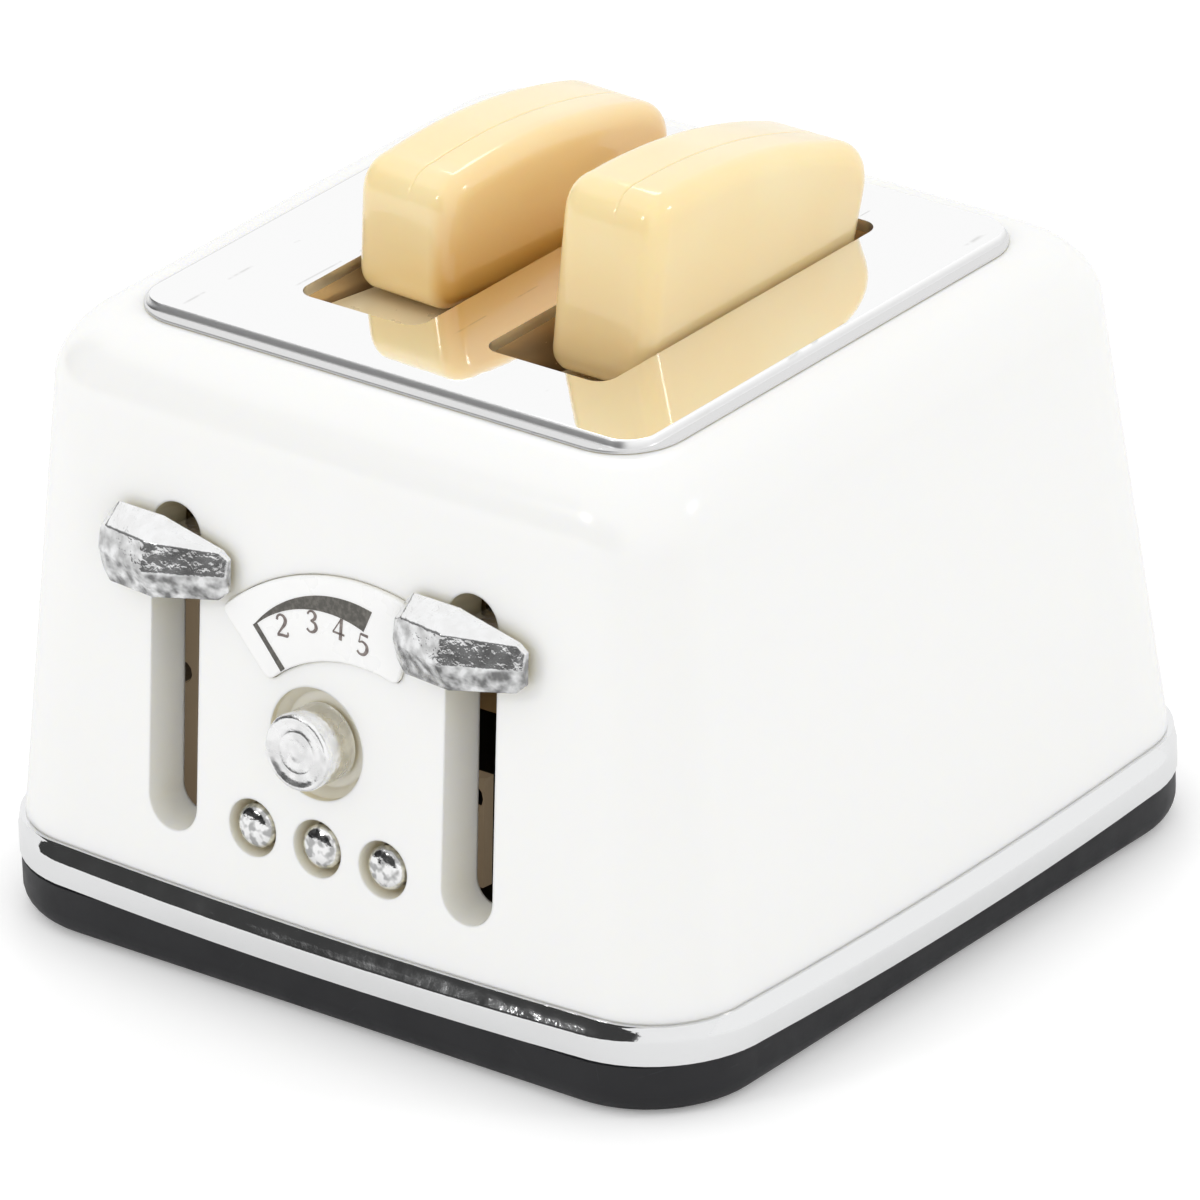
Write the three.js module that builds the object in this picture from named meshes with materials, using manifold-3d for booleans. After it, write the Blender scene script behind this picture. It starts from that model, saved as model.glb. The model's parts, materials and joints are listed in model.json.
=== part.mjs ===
// A miniature toy toaster with two toast slices, in millimetres, +Z up.
// The origin is the middle of the underside. The front, with the levers, faces -Y.
import * as THREE from 'three';
import { mergeVertices } from 'three/addons/utils/BufferGeometryUtils.js';
import Module from 'manifold-3d';

const wasm = await Module();
wasm.setup();

// Clearances shared by many pieces
const runGap = 0.08;      // between a shaft or block and what it slides in
const seatGap = 0.28;     // between pieces that rest on each other inside the leaning front
const overrun = 1;        // how far a cutting solid passes the face it cuts

// Toast slices: each leans back in its slot by its own amount. The rest is built out from them
const toastLength = 11.55;
const toastFlareShare = 0.16;   // how far the rear end leans out, of its height
const toastDome = 0.7;
const toastCrownShare = 0.53;
const toastCrownLiftShare = 5 / 3;
const toastFrontBendShare = 0.16;
const toastRearBendShare = 0.45;
const toastThickness = 4.4;
const toastEdge = 0.8;
const toastTopCorner = 1.35;
const toastRearCorner = 1.65;
const toastFootSpare = 0.1;     // foot corners rounder than the edge by this much
const toastBottomCorner = toastEdge + toastFootSpare;
const leftCornerHeight = 4.85;  // the left slice is the lower one of the two
const rightCornerHeight = 7;
const leftLeanShare = 0.1;
const leftTurnShare = 0.05;     // the left slice also sits askew in its slot
const leftShiftX = -0.3;        // from the middle of its slot
const leftFrontSpare = 2.7;     // from the slot's front end
const leftSink = 0.85;          // foot of the slice below the top plate
const rightLeanShare = 0.205;
const rightTurnShare = 0;
const rightShiftX = 0.2;
const rightFrontSpare = 2.4;
const rightSink = 1.55;
const trayInset = 0.05;         // tray narrower than the toast on each side
const trayThickness = 0.6;
const trayBeyond = 0.35;        // tray past its slice
const trayFrontSpare = 0.45;    // the left tray runs on to this far from its slot's front end
const leftTrayAhead = leftFrontSpare - trayFrontSpare;

// Bread slots and the wells under them: widths run along X, lengths along Y
const slotSideSpare = 0.5;
const slotEndSpare = 4.15;
const slotWidth = toastThickness + 2 * slotSideSpare;
const slotLength = toastLength + slotEndSpare;
const slotBridge = 2.85;        // plate left between the two slots
const slotPitch = slotWidth + slotBridge;
const slotShiftX = 0.25;        // the pair sits a little to the right of the middle
const slotShiftY = 0.35;        // and a little to the rear
const slotFrontY = slotShiftY - slotLength / 2;
const slotRearY = slotShiftY + slotLength / 2;
const slotCorner = 0.7;
const wellWall = 0.4;
const wellDepth = 12.62;        // below the top plate's seat
const wellFlange = 0.45;
const wellFlangeHeight = 0.4;
const armSlotGap = 0.3;         // round a lift finger where it passes into the well

// Top plate
const plateSideMargin = 4.7;
const plateEndMargin = 3.45;
const plateWidth = slotPitch + slotWidth + 2 * plateSideMargin;
const plateDepth = slotLength + 2 * plateEndMargin;
const plateCorner = 2.4;
const plateRimHeight = 0.14;
const plateRimWidth = 0.45;
const plateStep = 0.29;
const plateStepCorner = 1.2;
const plateSkirtHeight = 0.7;
const plateSkirtWall = 0.5;

// Body, from the plate out and down
const shoulderSide = 2.525;     // shoulder past the plate, at the sides
const shoulderFront = 2.56;     // and at the front and rear
const sideTaper = 1.45;         // how far each wall spreads on its way down
const frontTaper = 1.47;
const shoulderWidth = plateWidth + 2 * shoulderSide;
const shoulderDepth = plateDepth + 2 * shoulderFront;
const bodyBottomWidth = shoulderWidth + 2 * sideTaper;
const bodyBottomDepth = shoulderDepth + 2 * frontTaper;
const panZ = 1.95;              // top of the black pan, where the trim sits
const trimHeight = 1.5;
const wallHeight = 16.55;
const shoulderRise = 2.62;
const bodyBottomZ = panZ + trimHeight;
const shoulderZ = bodyBottomZ + wallHeight;
const plateLedgeZ = shoulderZ + shoulderRise;
const bodyBottomCorner = 3.6;
const shoulderCorner = 3.2;
const bodyTopCorner = 2.5;
const bodyBottomBow = 0.35;     // how far the middle of a wall stands out
const shoulderBow = 0.14;
const shellWall = 1.2;
const wallBite = 0.3;           // how deep inner bosses root in the wall
const roofThickness = 1.15;
const roofLedge = 1;            // width of the ledge that carries the top plate
const shoulderEdge = 0.06;      // how far the shell stands past the plate all round

// Trim ring
const trimSideShelf = 0.5;      // trim past the shell, at the sides
const trimFrontShelf = 0.495;   // and at the front and rear
const trimWidth = bodyBottomWidth + 2 * trimSideShelf;
const trimDepth = bodyBottomDepth + 2 * trimFrontShelf;
const trimCorner = 4.6;
const trimBow = 0.4;
const trimBandHeight = 0.95;
const trimLedge = 0.14;         // flat ledge left showing round the shell
const trimSlopeShares = [[0.42, 0.3], [0.78, 0.7]];
const trimSideRing = 2.35;      // width of the ring's foot
const trimFrontRing = 2.325;
const trimInnerCorner = 1.5;

// Base pan
const panSideInset = 0.25;      // pan inside the trim, at the sides
const panFrontLip = 0.075;      // pan past the trim, at the front and rear
const panWidth = trimWidth - 2 * panSideInset;
const panDepth = trimDepth + 2 * panFrontLip;
const panCorner = 4.4;
const panEdgeRadius = 0.9;
const panWall = 1.2;
const panFloor = 1;

// Base screws and the bosses they bite into
const screwSideInset = 3.7;     // from the shell's lower edge
const screwFrontInset = 3.63;
const screwX = bodyBottomWidth / 2 - screwSideInset;
const screwY = bodyBottomDepth / 2 - screwFrontInset;
const screwRadius = 0.5;
const screwHeadRadius = 0.9;
const screwHeadHeight = 0.4;
const screwSink = 0.12;         // head below the underside
const screwLength = 5.4;
const screwDriveWidth = 0.28;
const screwDriveDepth = 0.2;
const driveReachShare = 2 / 3;
const bossRadius = 1.4;
const bossHeight = 5.55;        // above the shell's lower edge
const bossRib = 0.8;

// Front panel: heights run up the leaning face from the shell's lower edge
const panelX = -0.15;           // middle of the controls
const leverSlotWidth = 2.2;
const leverSlotBelow = 0.64;    // left under the neck when the lever is down
const leverSlotAbove = 1.2;     // left over the neck when the lever is up
const knobX = -0.28;
const knobHeight = 6.92;
const knobRecessRadius = 2;
const knobRecessDepth = 0.45;
const buttonPitch = 2.9;
const buttonHeight = 3.05;

// Levers
const leverRestDrop = 4.25;     // raised handle's middle below the shoulder
const leverDown = 3.3;          // height of the handle's middle when down
const leverRest = wallHeight - leverRestDrop;
const handleWidth = 5.5;
const handleShift = 0.05;       // of the handle's middle from the neck's
const handleTop = 1.5;          // heights from the neck's middle
const handleFrontTop = 1.03;
const handleEdge = 0.1;         // how far below the middle the underside starts to slope
const handleBottom = 1.25;
const handleBack = 0.45;        // how far the handle's back stands off the face
const handleLeftDepth = 0.8;    // the bar is deepest at a ridge and shallow at its right end
const handleRidgeDepth = 1.35;
const handleRightDepth = 0.5;
const handleUnderShare = 0.4;
const handleRidgeX = -0.2;
const handleEndLength = 0.3;
const handleEndShare = 0.8;
const handleRightShare = 0.8;
const handleChamfer = 0.15;
const neckWidth = 1.4;
const neckHeight = 1.4;
const neckGrip = 1;             // how far the neck goes into its carriage

// Lift carriages, their rods and springs: depths run in from the face
const carriageWidth = 3.4;
const carriageWallGap = 0.4;
const carriageFrontReach = 2.1; // block in front of the rod's axis
const carriageBackReach = 1.65; // and behind it
const carriageFront = shellWall + carriageWallGap;
const rodDepth = carriageFront + carriageFrontReach;
const carriageBack = rodDepth + carriageBackReach;
const neckReach = carriageFront + neckGrip;
const carriageHeight = 2.4;
const armWidth = 1.6;
const armHeight = 1.1;
const armThickness = 0.65;
const armFront = carriageBack - armThickness;
const fingerHeight = 0.7;
const fingerLap = 0.9;          // how far the finger reaches under its tray
const rodRadius = 0.5;
const springWire = 0.26;
const springRadius = 0.95;
const springTurns = 9;
const springSteps = 8;
const springSides = 5;
const springSeat = 0.1;

// Mechanism frame
const frameFloorGap = 0.65;
const frameBar = 0.7;
const frameTopBar = 0.8;
const frameStopGap = 0.28;      // between the raised carriage and the upper bar
const frameFrontReach = 0.9;    // bars in front of the rods' axes
const frameBackReach = 0.8;     // and behind them
const frameFront = rodDepth - frameFrontReach;
const frameBack = rodDepth + frameBackReach;
const frameUprightWidth = 1.4;
const frameSideGap = 0.4;       // between an upright and the screw bosses
const frameInnerGap = 0.35;     // between an upright and the carriage
const frameUprightThickness = 0.9;
const frameUprightFront = frameBack - frameUprightThickness;
const frameBossRadius = 0.8;
const frameScrewHeight = 6;
const frameScrewRadius = 0.36;
const frameScrewHeadRadius = 0.65;
const frameScrewHeadHeight = 0.4;
const frameScrewBite = 1.7;

// Knob
const knobRadius = 1.46;
const knobFront = 1.4;          // how far the knob stands out of the nominal face
const knobBack = 0.15;          // how deep its rear edge lies in the recess
const knobChamfer = 0.16;
const knobDish = 0.08;
const shaftRadius = 0.5;
const shaftInKnob = 0.7;
const shaftReach = 2.7;
const clipDepth = 1.5;
const clipThickness = 0.35;
const clipRadius = 1.15;
const clipMouth = 0.7;
const grooveRadius = 0.36;
const grooveSpare = 0.08;

// Buttons
const buttonRadius = 0.72;
const buttonFront = 0.2;
const buttonDome = 0.16;
const domeRingShare = 0.5;
const domeRiseShare = 0.75;
const buttonTravel = 0.4;
const buttonFlangeRadius = 1.15;
const buttonFlangeThickness = 0.45;
const buttonStemRadius = 0.35;
const buttonStemSpare = 0.15;   // between a pressed stem and the lift arms
const dimpleRadius = 1.05;
const dimpleDepth = 0.5;
const bracketFront = 3.4;
const bracketThickness = 0.5;
const bracketWidth = 8.8;
const bracketBottom = 1.6;
const bracketTop = 5.7;
const postOffset = 3.85;
const postHeight = 4.9;
const postRadius = 0.42;
const postShoulderRadius = 0.7;
const postHeadReach = 0.35;
const buttonSpringWire = 0.18;
const buttonSpringRadius = 0.66;
const buttonSpringTurns = 3;

// Dial plate: a fan drawn about its own centre
const fanX = 1.6;
const fanHeight = 4.6;
const fanInner = 5.73;
const fanOuter = 8.8;
const fanStartShare = 72.5 / 360;
const fanEndShare = 133.5 / 360;
const fanCorner = 0.35;
const fanProud = 0.4;           // plate face in front of the nominal face
const fanSunk = 0.12;           // plate back behind the nominal face
const fanGap = 0.1;

// Values worked out from the sizes above
const panelLean = Math.atan(frontTaper / wallHeight);
const leanSlope = Math.tan(panelLean);
const leverSlotBottom = leverDown - neckHeight / 2 - leverSlotBelow;
const leverSlotTop = leverRest + neckHeight / 2 + leverSlotAbove;
const buttonStemReach = armFront - buttonTravel - buttonStemSpare;
const plateTopZ = plateLedgeZ + plateRimHeight + plateStep;
const cavityTopZ = plateLedgeZ - roofThickness;
const wellBottomZ = plateLedgeZ - wellDepth;
const armSlotWidth = armWidth + 2 * armSlotGap;
const bossTopZ = bodyBottomZ + bossHeight;
const frameBottom = panFloor - bodyBottomZ + frameFloorGap;
const frameUprightX = screwX - bossRadius - frameSideGap - frameUprightWidth / 2;
const leverOffset = frameUprightX - frameUprightWidth / 2 - frameInnerGap - carriageWidth / 2;
const trimInnerWidth = trimWidth - 2 * trimSideRing;
const trimInnerDepth = trimDepth - 2 * trimFrontRing;
const trayWidth = toastThickness - 2 * trayInset;
const quarterTurn = Math.PI / 2;
const halfTurn = Math.PI;
const fullTurn = 2 * Math.PI;
const cornerSteps = 5;
const sideSteps = 4;
const roundSegments = 16;
const toastCurveSteps = 5;
const toastEdgeSteps = 3;
const smallSegments = 12;
const sides = [['left', -1], ['right', 1]];

// Materials
function material(colour, roughness, metalness) {
  return new THREE.MeshStandardMaterial({ color: colour, roughness, metalness });
}
const looks = {
  shell: () => material(0xf5f4ee, 0.25, 0),
  chrome: () => material(0xd9dadd, 0.12, 1),
  pan: () => material(0x37373a, 0.45, 0),
  dial: () => material(0xfbfbf8, 0.35, 0),
  toast: () => material(0xf5d9b0, 0.35, 0),
  steel: () => material(0xb9bcc0, 0.35, 1),
  brass: () => material(0xc9a86a, 0.35, 1),
  innerPlastic: () => material(0x8a8578, 0.6, 0),
};

// Turns a closed geometry into a solid for cutting and joining
function solid(geometry) {
  const bare = geometry.clone();
  bare.deleteAttribute('normal');
  bare.deleteAttribute('uv');
  const merged = mergeVertices(bare);
  return new wasm.Manifold(new wasm.Mesh({
    numProp: 3,
    vertProperties: new Float32Array(merged.attributes.position.array),
    triVerts: new Uint32Array(merged.index.array),
  }));
}

// Turns a solid back into a geometry
function shaped(result) {
  const mesh = result.getMesh();
  const geometry = new THREE.BufferGeometry();
  geometry.setAttribute('position', new THREE.BufferAttribute(new Float32Array(mesh.vertProperties), 3));
  geometry.setIndex(new THREE.BufferAttribute(new Uint32Array(mesh.triVerts), 1));
  geometry.computeVertexNormals();
  return geometry;
}

function cut(base, ...cutters) {
  return cutters.reduce((rest, cutter) => rest.subtract(cutter), base);
}

function join(base, ...others) {
  return others.reduce((sum, other) => sum.add(other), base);
}

function piece(name, geometry, look) {
  const mesh = new THREE.Mesh(geometry, look());
  mesh.name = name;
  return mesh;
}

// A box between two corners
function box(x0, x1, y0, y1, z0, z1) {
  const geometry = new THREE.BoxGeometry(x1 - x0, y1 - y0, z1 - z0);
  return geometry.translate((x0 + x1) / 2, (y0 + y1) / 2, (z0 + z1) / 2);
}

// A cylinder along Y between two depths
function barY(radius, x, y0, y1, z, segments = roundSegments) {
  return new THREE.CylinderGeometry(radius, radius, y1 - y0, segments).translate(x, (y0 + y1) / 2, z);
}

// A cylinder along Z between two heights
function barZ(radius, x, y, z0, z1, segments = roundSegments) {
  const geometry = new THREE.CylinderGeometry(radius, radius, z1 - z0, segments);
  return geometry.rotateX(quarterTurn).translate(x, y, (z0 + z1) / 2);
}

// A turned shape whose axis runs along Y: profile points hold the radius and the depth
function turnedY(profile, segments = roundSegments) {
  const points = profile.map(([radius, depth]) => new THREE.Vector2(radius, depth));
  return new THREE.LatheGeometry(points, segments);
}

// A rounded rectangle whose sides bow outward, anticlockwise
function roundedOutline(width, depth, corner, bow) {
  const centres = [[1, -1], [1, 1], [-1, 1], [-1, -1]].map(([sx, sy]) => new THREE.Vector2(
    sx * (width / 2 - corner),
    sy * (depth / 2 - corner),
  ));
  const onCorner = (k, angle) => new THREE.Vector2(Math.cos(angle), Math.sin(angle))
    .multiplyScalar(corner)
    .add(centres[k % 4]);
  const points = [];
  centres.forEach((centre, k) => {
    const start = (k - 1) * quarterTurn;
    for (let i = 0; i <= cornerSteps; i++) {
      points.push(onCorner(k, start + (quarterTurn * i) / cornerSteps));
    }
    const from = onCorner(k, start + quarterTurn);
    const to = onCorner(k + 1, start + quarterTurn);
    const outward = new THREE.Vector2(Math.cos(start + quarterTurn), Math.sin(start + quarterTurn));
    for (let j = 1; j < sideSteps; j++) {
      const along = j / sideSteps;
      const swell = bow * 4 * along * (1 - along);
      points.push(from.clone().lerp(to, along).addScaledVector(outward, swell));
    }
  });
  return points;
}

// A closed skin over rings of equal length, each ring anticlockwise seen from the last one
function skin(rings) {
  const count = rings[0].length;
  const positions = rings.flat().flatMap((point) => point.toArray());
  const indices = [];
  for (let r = 0; r < rings.length - 1; r++) {
    for (let i = 0; i < count; i++) {
      const here = r * count + i;
      const next = r * count + ((i + 1) % count);
      indices.push(here, next, next + count, here, next + count, here + count);
    }
  }
  const addCap = (ring, flipped) => {
    const hub = positions.length / 3;
    const sum = rings[ring].reduce((total, point) => total.add(point), new THREE.Vector3());
    const middle = sum.divideScalar(count);
    positions.push(...middle.toArray());
    for (let i = 0; i < count; i++) {
      const here = ring * count + i;
      const next = ring * count + ((i + 1) % count);
      indices.push(hub, flipped ? next : here, flipped ? here : next);
    }
  };
  addCap(0, true);
  addCap(rings.length - 1, false);
  const geometry = new THREE.BufferGeometry();
  geometry.setAttribute('position', new THREE.Float32BufferAttribute(positions, 3));
  geometry.setIndex(indices);
  geometry.computeVertexNormals();
  return geometry;
}

function ringAt(outline, z) {
  return outline.map((point) => new THREE.Vector3(point.x, point.y, z));
}

// A straight-sided rounded block between two heights
function roundedBlock(width, depth, corner, z0, z1) {
  const outline = roundedOutline(width, depth, corner, 0);
  return skin([ringAt(outline, z0), ringAt(outline, z1)]);
}

// An outline in X and height, given a thickness from one depth to another
function panelSlab(shape, y0, y1, curveSegments) {
  const geometry = new THREE.ExtrudeGeometry(shape, { depth: y1 - y0, bevelEnabled: false, curveSegments });
  return geometry.rotateX(quarterTurn).translate(0, y1, 0);
}

// A coil spring round an axis along Z, from its foot up
class CoilPath extends THREE.Curve {
  constructor(radius, height, turns) {
    super();
    this.radius = radius;
    this.height = height;
    this.turns = turns;
  }

  getPoint(along, target = new THREE.Vector3()) {
    const angle = along * this.turns * fullTurn;
    return target.set(this.radius * Math.cos(angle), this.radius * Math.sin(angle), this.height * along);
  }
}

function coil(radius, wire, height, turns) {
  const corners = Array.from({ length: springSides }, (_, k) => new THREE.Vector2(wire / 2, 0)
    .rotateAround(new THREE.Vector2(), (k * fullTurn) / springSides));
  const path = new CoilPath(radius, height - wire, turns);
  const steps = turns * springSteps;
  const geometry = new THREE.ExtrudeGeometry(new THREE.Shape(corners), { steps, extrudePath: path });
  return geometry.translate(0, 0, wire / 2);
}

// The leaning front: a group whose X-Z plane is the nominal front face
const panel = new THREE.Group();
panel.position.set(0, -bodyBottomDepth / 2, bodyBottomZ);
panel.rotation.x = -panelLean;
panel.updateMatrix();

function fromPanel(geometry) {
  return geometry.applyMatrix4(panel.matrix);
}

// Leans a body-frame geometry back by the front's slope, about the height where slots are measured
function leaned(geometry) {
  const shear = new THREE.Matrix4().makeShear(0, 0, 0, 0, 0, leanSlope);
  return geometry.translate(0, 0, -plateTopZ).applyMatrix4(shear).translate(0, 0, plateTopZ);
}

const leverX = (side) => panelX + side * leverOffset;
const slotX = (side) => slotShiftX + (side * slotPitch) / 2;

// The leaning frame of a slice and its tray: Y runs back along the foot, Z up the front end
function rackFrame(side) {
  const left = side < 0;
  const lean = Math.atan(left ? leftLeanShare : rightLeanShare);
  const turn = Math.atan(left ? leftTurnShare : rightTurnShare);
  return new THREE.Matrix4().makeRotationFromEuler(new THREE.Euler(-lean, 0, -turn, 'ZYX')).setPosition(
    slotX(side) + (left ? leftShiftX : rightShiftX),
    slotFrontY + (left ? leftFrontSpare : rightFrontSpare),
    plateTopZ - (left ? leftSink : rightSink),
  );
}

function trayAhead(side) {
  return side < 0 ? leftTrayAhead : trayBeyond;
}

// Where the tip of a lift finger lies just under its tray
function fingerTip(side) {
  const underTray = new THREE.Vector3(0, fingerLap - trayAhead(side), -seatGap - trayThickness - seatGap);
  return underTray.applyMatrix4(rackFrame(side));
}

// White shell
function wallWidth(z) {
  return bodyBottomWidth - (2 * sideTaper * (z - bodyBottomZ)) / wallHeight;
}

function wallDepth(z) {
  return bodyBottomDepth - (2 * frontTaper * (z - bodyBottomZ)) / wallHeight;
}

function shellOutside() {
  const shoulderRings = 6;
  const topWidth = plateWidth + 2 * shoulderEdge;
  const topDepth = plateDepth + 2 * shoulderEdge;
  const mix = THREE.MathUtils.lerp;
  const rings = [ringAt(
    roundedOutline(bodyBottomWidth, bodyBottomDepth, bodyBottomCorner, bodyBottomBow),
    bodyBottomZ,
  )];
  for (let i = 0; i <= shoulderRings; i++) {
    const angle = (quarterTurn * i) / shoulderRings;
    const inward = 1 - Math.cos(angle);
    const z = mix(shoulderZ, plateLedgeZ, Math.sin(angle));
    const width = mix(shoulderWidth, topWidth, inward);
    const depth = mix(shoulderDepth, topDepth, inward);
    const corner = mix(shoulderCorner, bodyTopCorner, inward);
    rings.push(ringAt(roundedOutline(width, depth, corner, mix(shoulderBow, 0, inward)), z));
  }
  return solid(skin(rings));
}

function shellCavity() {
  const inside = (z) => ringAt(roundedOutline(
    wallWidth(z) - 2 * shellWall,
    wallDepth(z) - 2 * shellWall,
    bodyBottomCorner - shellWall,
    0,
  ), z);
  return solid(skin([inside(bodyBottomZ - overrun), inside(cavityTopZ)]));
}

function screwPlaces() {
  return [
    ['front_left', -screwX, -screwY],
    ['front_right', screwX, -screwY],
    ['rear_left', -screwX, screwY],
    ['rear_right', screwX, screwY],
  ];
}

function leverSlotCutter(side) {
  const shape = new THREE.Shape();
  const radius = leverSlotWidth / 2;
  shape.absarc(leverX(side), leverSlotTop - radius, radius, 0, halfTurn);
  shape.absarc(leverX(side), leverSlotBottom + radius, radius, halfTurn, fullTurn);
  return solid(fromPanel(panelSlab(shape, -overrun, shellWall + overrun, smallSegments)));
}

// A fan outline about its own centre, grown all round by the margin
function fanShape(margin) {
  const start = fanStartShare * fullTurn;
  const end = fanEndShare * fullTurn;
  const inner = fanInner - margin;
  const outer = fanOuter + margin;
  const corner = fanCorner + margin;
  const sideTurnOut = (corner - margin) / outer;
  const sideTurnIn = (corner - margin) / inner;
  const at = (radius, angle) => [fanX + radius * Math.cos(angle), fanHeight + radius * Math.sin(angle)];
  const wide = margin / fanOuter;
  const shape = new THREE.Shape();
  shape.moveTo(...at(outer - corner, start - wide));
  shape.quadraticCurveTo(...at(outer, start - wide), ...at(outer, start - wide + sideTurnOut));
  shape.absarc(fanX, fanHeight, outer, start - wide + sideTurnOut, end + wide - sideTurnOut);
  shape.quadraticCurveTo(...at(outer, end + wide), ...at(outer - corner, end + wide));
  shape.lineTo(...at(inner + corner, end + wide));
  shape.quadraticCurveTo(...at(inner, end + wide), ...at(inner, end + wide - sideTurnIn));
  shape.absarc(fanX, fanHeight, inner, end + wide - sideTurnIn, start - wide + sideTurnIn, true);
  shape.quadraticCurveTo(...at(inner, start - wide), ...at(inner + corner, start - wide));
  return shape;
}

function outerShell() {
  const cavity = shellCavity();
  // Corner bosses grow out of the cavity's walls on ribs
  const bosses = screwPlaces().flatMap(([, x, y]) => [
    solid(barZ(bossRadius, x, y, bodyBottomZ - overrun * 2, bossTopZ)),
    solid(box(
      Math.min(x, x + Math.sign(x) * bodyBottomCorner),
      Math.max(x, x + Math.sign(x) * bodyBottomCorner),
      y - bossRib / 2,
      y + bossRib / 2,
      bodyBottomZ + bossRib,
      bossTopZ,
    )),
  ]);
  const roofOpening = solid(roundedBlock(
    plateWidth - 2 * roofLedge,
    plateDepth - 2 * roofLedge,
    plateCorner,
    cavityTopZ - overrun,
    plateLedgeZ + overrun,
  ));
  const footTop = bodyBottomZ + bossRib;
  const feet = screwPlaces().map(([, x, y]) => solid(barZ(bossRadius, x, y, panFloor, footTop)));
  const frameBosses = sides.map(([, side]) => solid(fromPanel(barY(
    frameBossRadius,
    panelX + side * frameUprightX,
    shellWall - wallBite,
    frameUprightFront - seatGap,
    frameScrewHeight,
    smallSegments,
  ))));
  const posts = sides.flatMap(([, side]) => [
    solid(fromPanel(barY(
      postShoulderRadius,
      panelX + side * postOffset,
      shellWall - wallBite,
      bracketFront - seatGap,
      postHeight,
      smallSegments,
    ))),
    solid(fromPanel(barY(
      postRadius,
      panelX + side * postOffset,
      shellWall,
      bracketFront + bracketThickness + postHeadReach,
      postHeight,
      smallSegments,
    ))),
  ]);
  const pilotHoles = screwPlaces().map(([, x, y]) => solid(barZ(
    screwRadius + runGap,
    x,
    y,
    -overrun,
    screwSink + screwHeadHeight + screwLength + seatGap,
  )));
  const framePilots = sides.map(([, side]) => solid(fromPanel(barY(
    frameScrewRadius + runGap,
    panelX + side * frameUprightX,
    frameUprightFront - frameScrewBite - seatGap,
    frameUprightFront,
    frameScrewHeight,
    smallSegments,
  ))));
  const knobRecess = solid(fromPanel(barY(
    knobRecessRadius,
    knobX,
    -overrun,
    knobRecessDepth,
    knobHeight,
    roundSegments * 2,
  )));
  const shaftHole = solid(fromPanel(barY(shaftRadius + runGap, knobX, 0, shellWall + overrun, knobHeight)));
  const buttonHoles = [-1, 0, 1].flatMap((place) => {
    const x = panelX + place * buttonPitch;
    return [
      solid(fromPanel(barY(dimpleRadius, x, -overrun, dimpleDepth, buttonHeight))),
      solid(fromPanel(barY(buttonRadius + runGap, x, 0, shellWall + overrun, buttonHeight))),
    ];
  });
  const pocketDepth = fanSunk + seatGap;
  const dialPocket = solid(fromPanel(panelSlab(fanShape(fanGap), -overrun, pocketDepth, smallSegments)));
  return shaped(cut(
    join(cut(shellOutside(), cut(cavity, ...bosses)), ...feet, ...frameBosses, ...posts),
    roofOpening,
    ...pilotHoles,
    ...framePilots,
    knobRecess,
    shaftHole,
    ...buttonHoles,
    dialPocket,
    leverSlotCutter(-1),
    leverSlotCutter(1),
  ));
}

// Chrome top plate with its two bread slots
function topPlate() {
  const rimTopZ = plateLedgeZ + plateRimHeight;
  const rim = solid(roundedBlock(plateWidth, plateDepth, plateCorner, plateLedgeZ, rimTopZ));
  const plateau = solid(roundedBlock(
    plateWidth - 2 * plateRimWidth,
    plateDepth - 2 * plateRimWidth,
    plateStepCorner,
    plateLedgeZ,
    plateTopZ,
  ));
  const skirtWidth = plateWidth - 2 * roofLedge - 2 * runGap;
  const skirtDepth = plateDepth - 2 * roofLedge - 2 * runGap;
  const skirtBottom = plateLedgeZ - plateSkirtHeight;
  const skirt = cut(
    solid(roundedBlock(skirtWidth, skirtDepth, plateCorner, skirtBottom, plateLedgeZ + plateRimHeight / 2)),
    solid(roundedBlock(
      skirtWidth - 2 * plateSkirtWall,
      skirtDepth - 2 * plateSkirtWall,
      plateCorner - plateSkirtWall,
      skirtBottom - overrun,
      plateLedgeZ,
    )),
  );
  const slots = sides.map(([, side]) => {
    const slot = roundedBlock(
      slotWidth,
      slotRearY - slotFrontY,
      slotCorner,
      plateLedgeZ - overrun,
      plateTopZ + overrun,
    );
    return solid(leaned(slot.translate(slotX(side), (slotRearY + slotFrontY) / 2, 0)));
  });
  return shaped(cut(join(rim, plateau, skirt), ...slots));
}

// A well that hangs under a slot and guides the slice down
function breadWell(side) {
  const x = slotX(side);
  const reach = slotWidth / 2;
  const outer = solid(leaned(box(
    x - reach - wellWall,
    x + reach + wellWall,
    slotFrontY - wellWall,
    slotRearY + wellWall,
    wellBottomZ,
    plateLedgeZ,
  )));
  const flange = solid(box(
    x - reach - wellWall - wellFlange,
    x + reach + wellWall + wellFlange,
    slotFrontY - wellWall - wellFlange,
    slotRearY + wellWall + wellFlange,
    plateLedgeZ - wellFlangeHeight,
    plateLedgeZ,
  ));
  const inner = solid(leaned(box(
    x - reach,
    x + reach,
    slotFrontY,
    slotRearY,
    wellBottomZ - overrun,
    plateLedgeZ + overrun,
  )));
  // The finger's top rises on its way out to the front, square to the lean
  const tip = fingerTip(side);
  const fingerTopZ = tip.z + (tip.y - slotFrontY + wellWall) * leanSlope;
  const armSlot = solid(leaned(box(
    x - armSlotWidth / 2,
    x + armSlotWidth / 2,
    slotFrontY - wellWall - overrun,
    slotFrontY + wellWall,
    wellBottomZ - overrun,
    fingerTopZ + armSlotGap,
  )));
  return shaped(cut(join(outer, flange), inner, armSlot));
}

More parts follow.
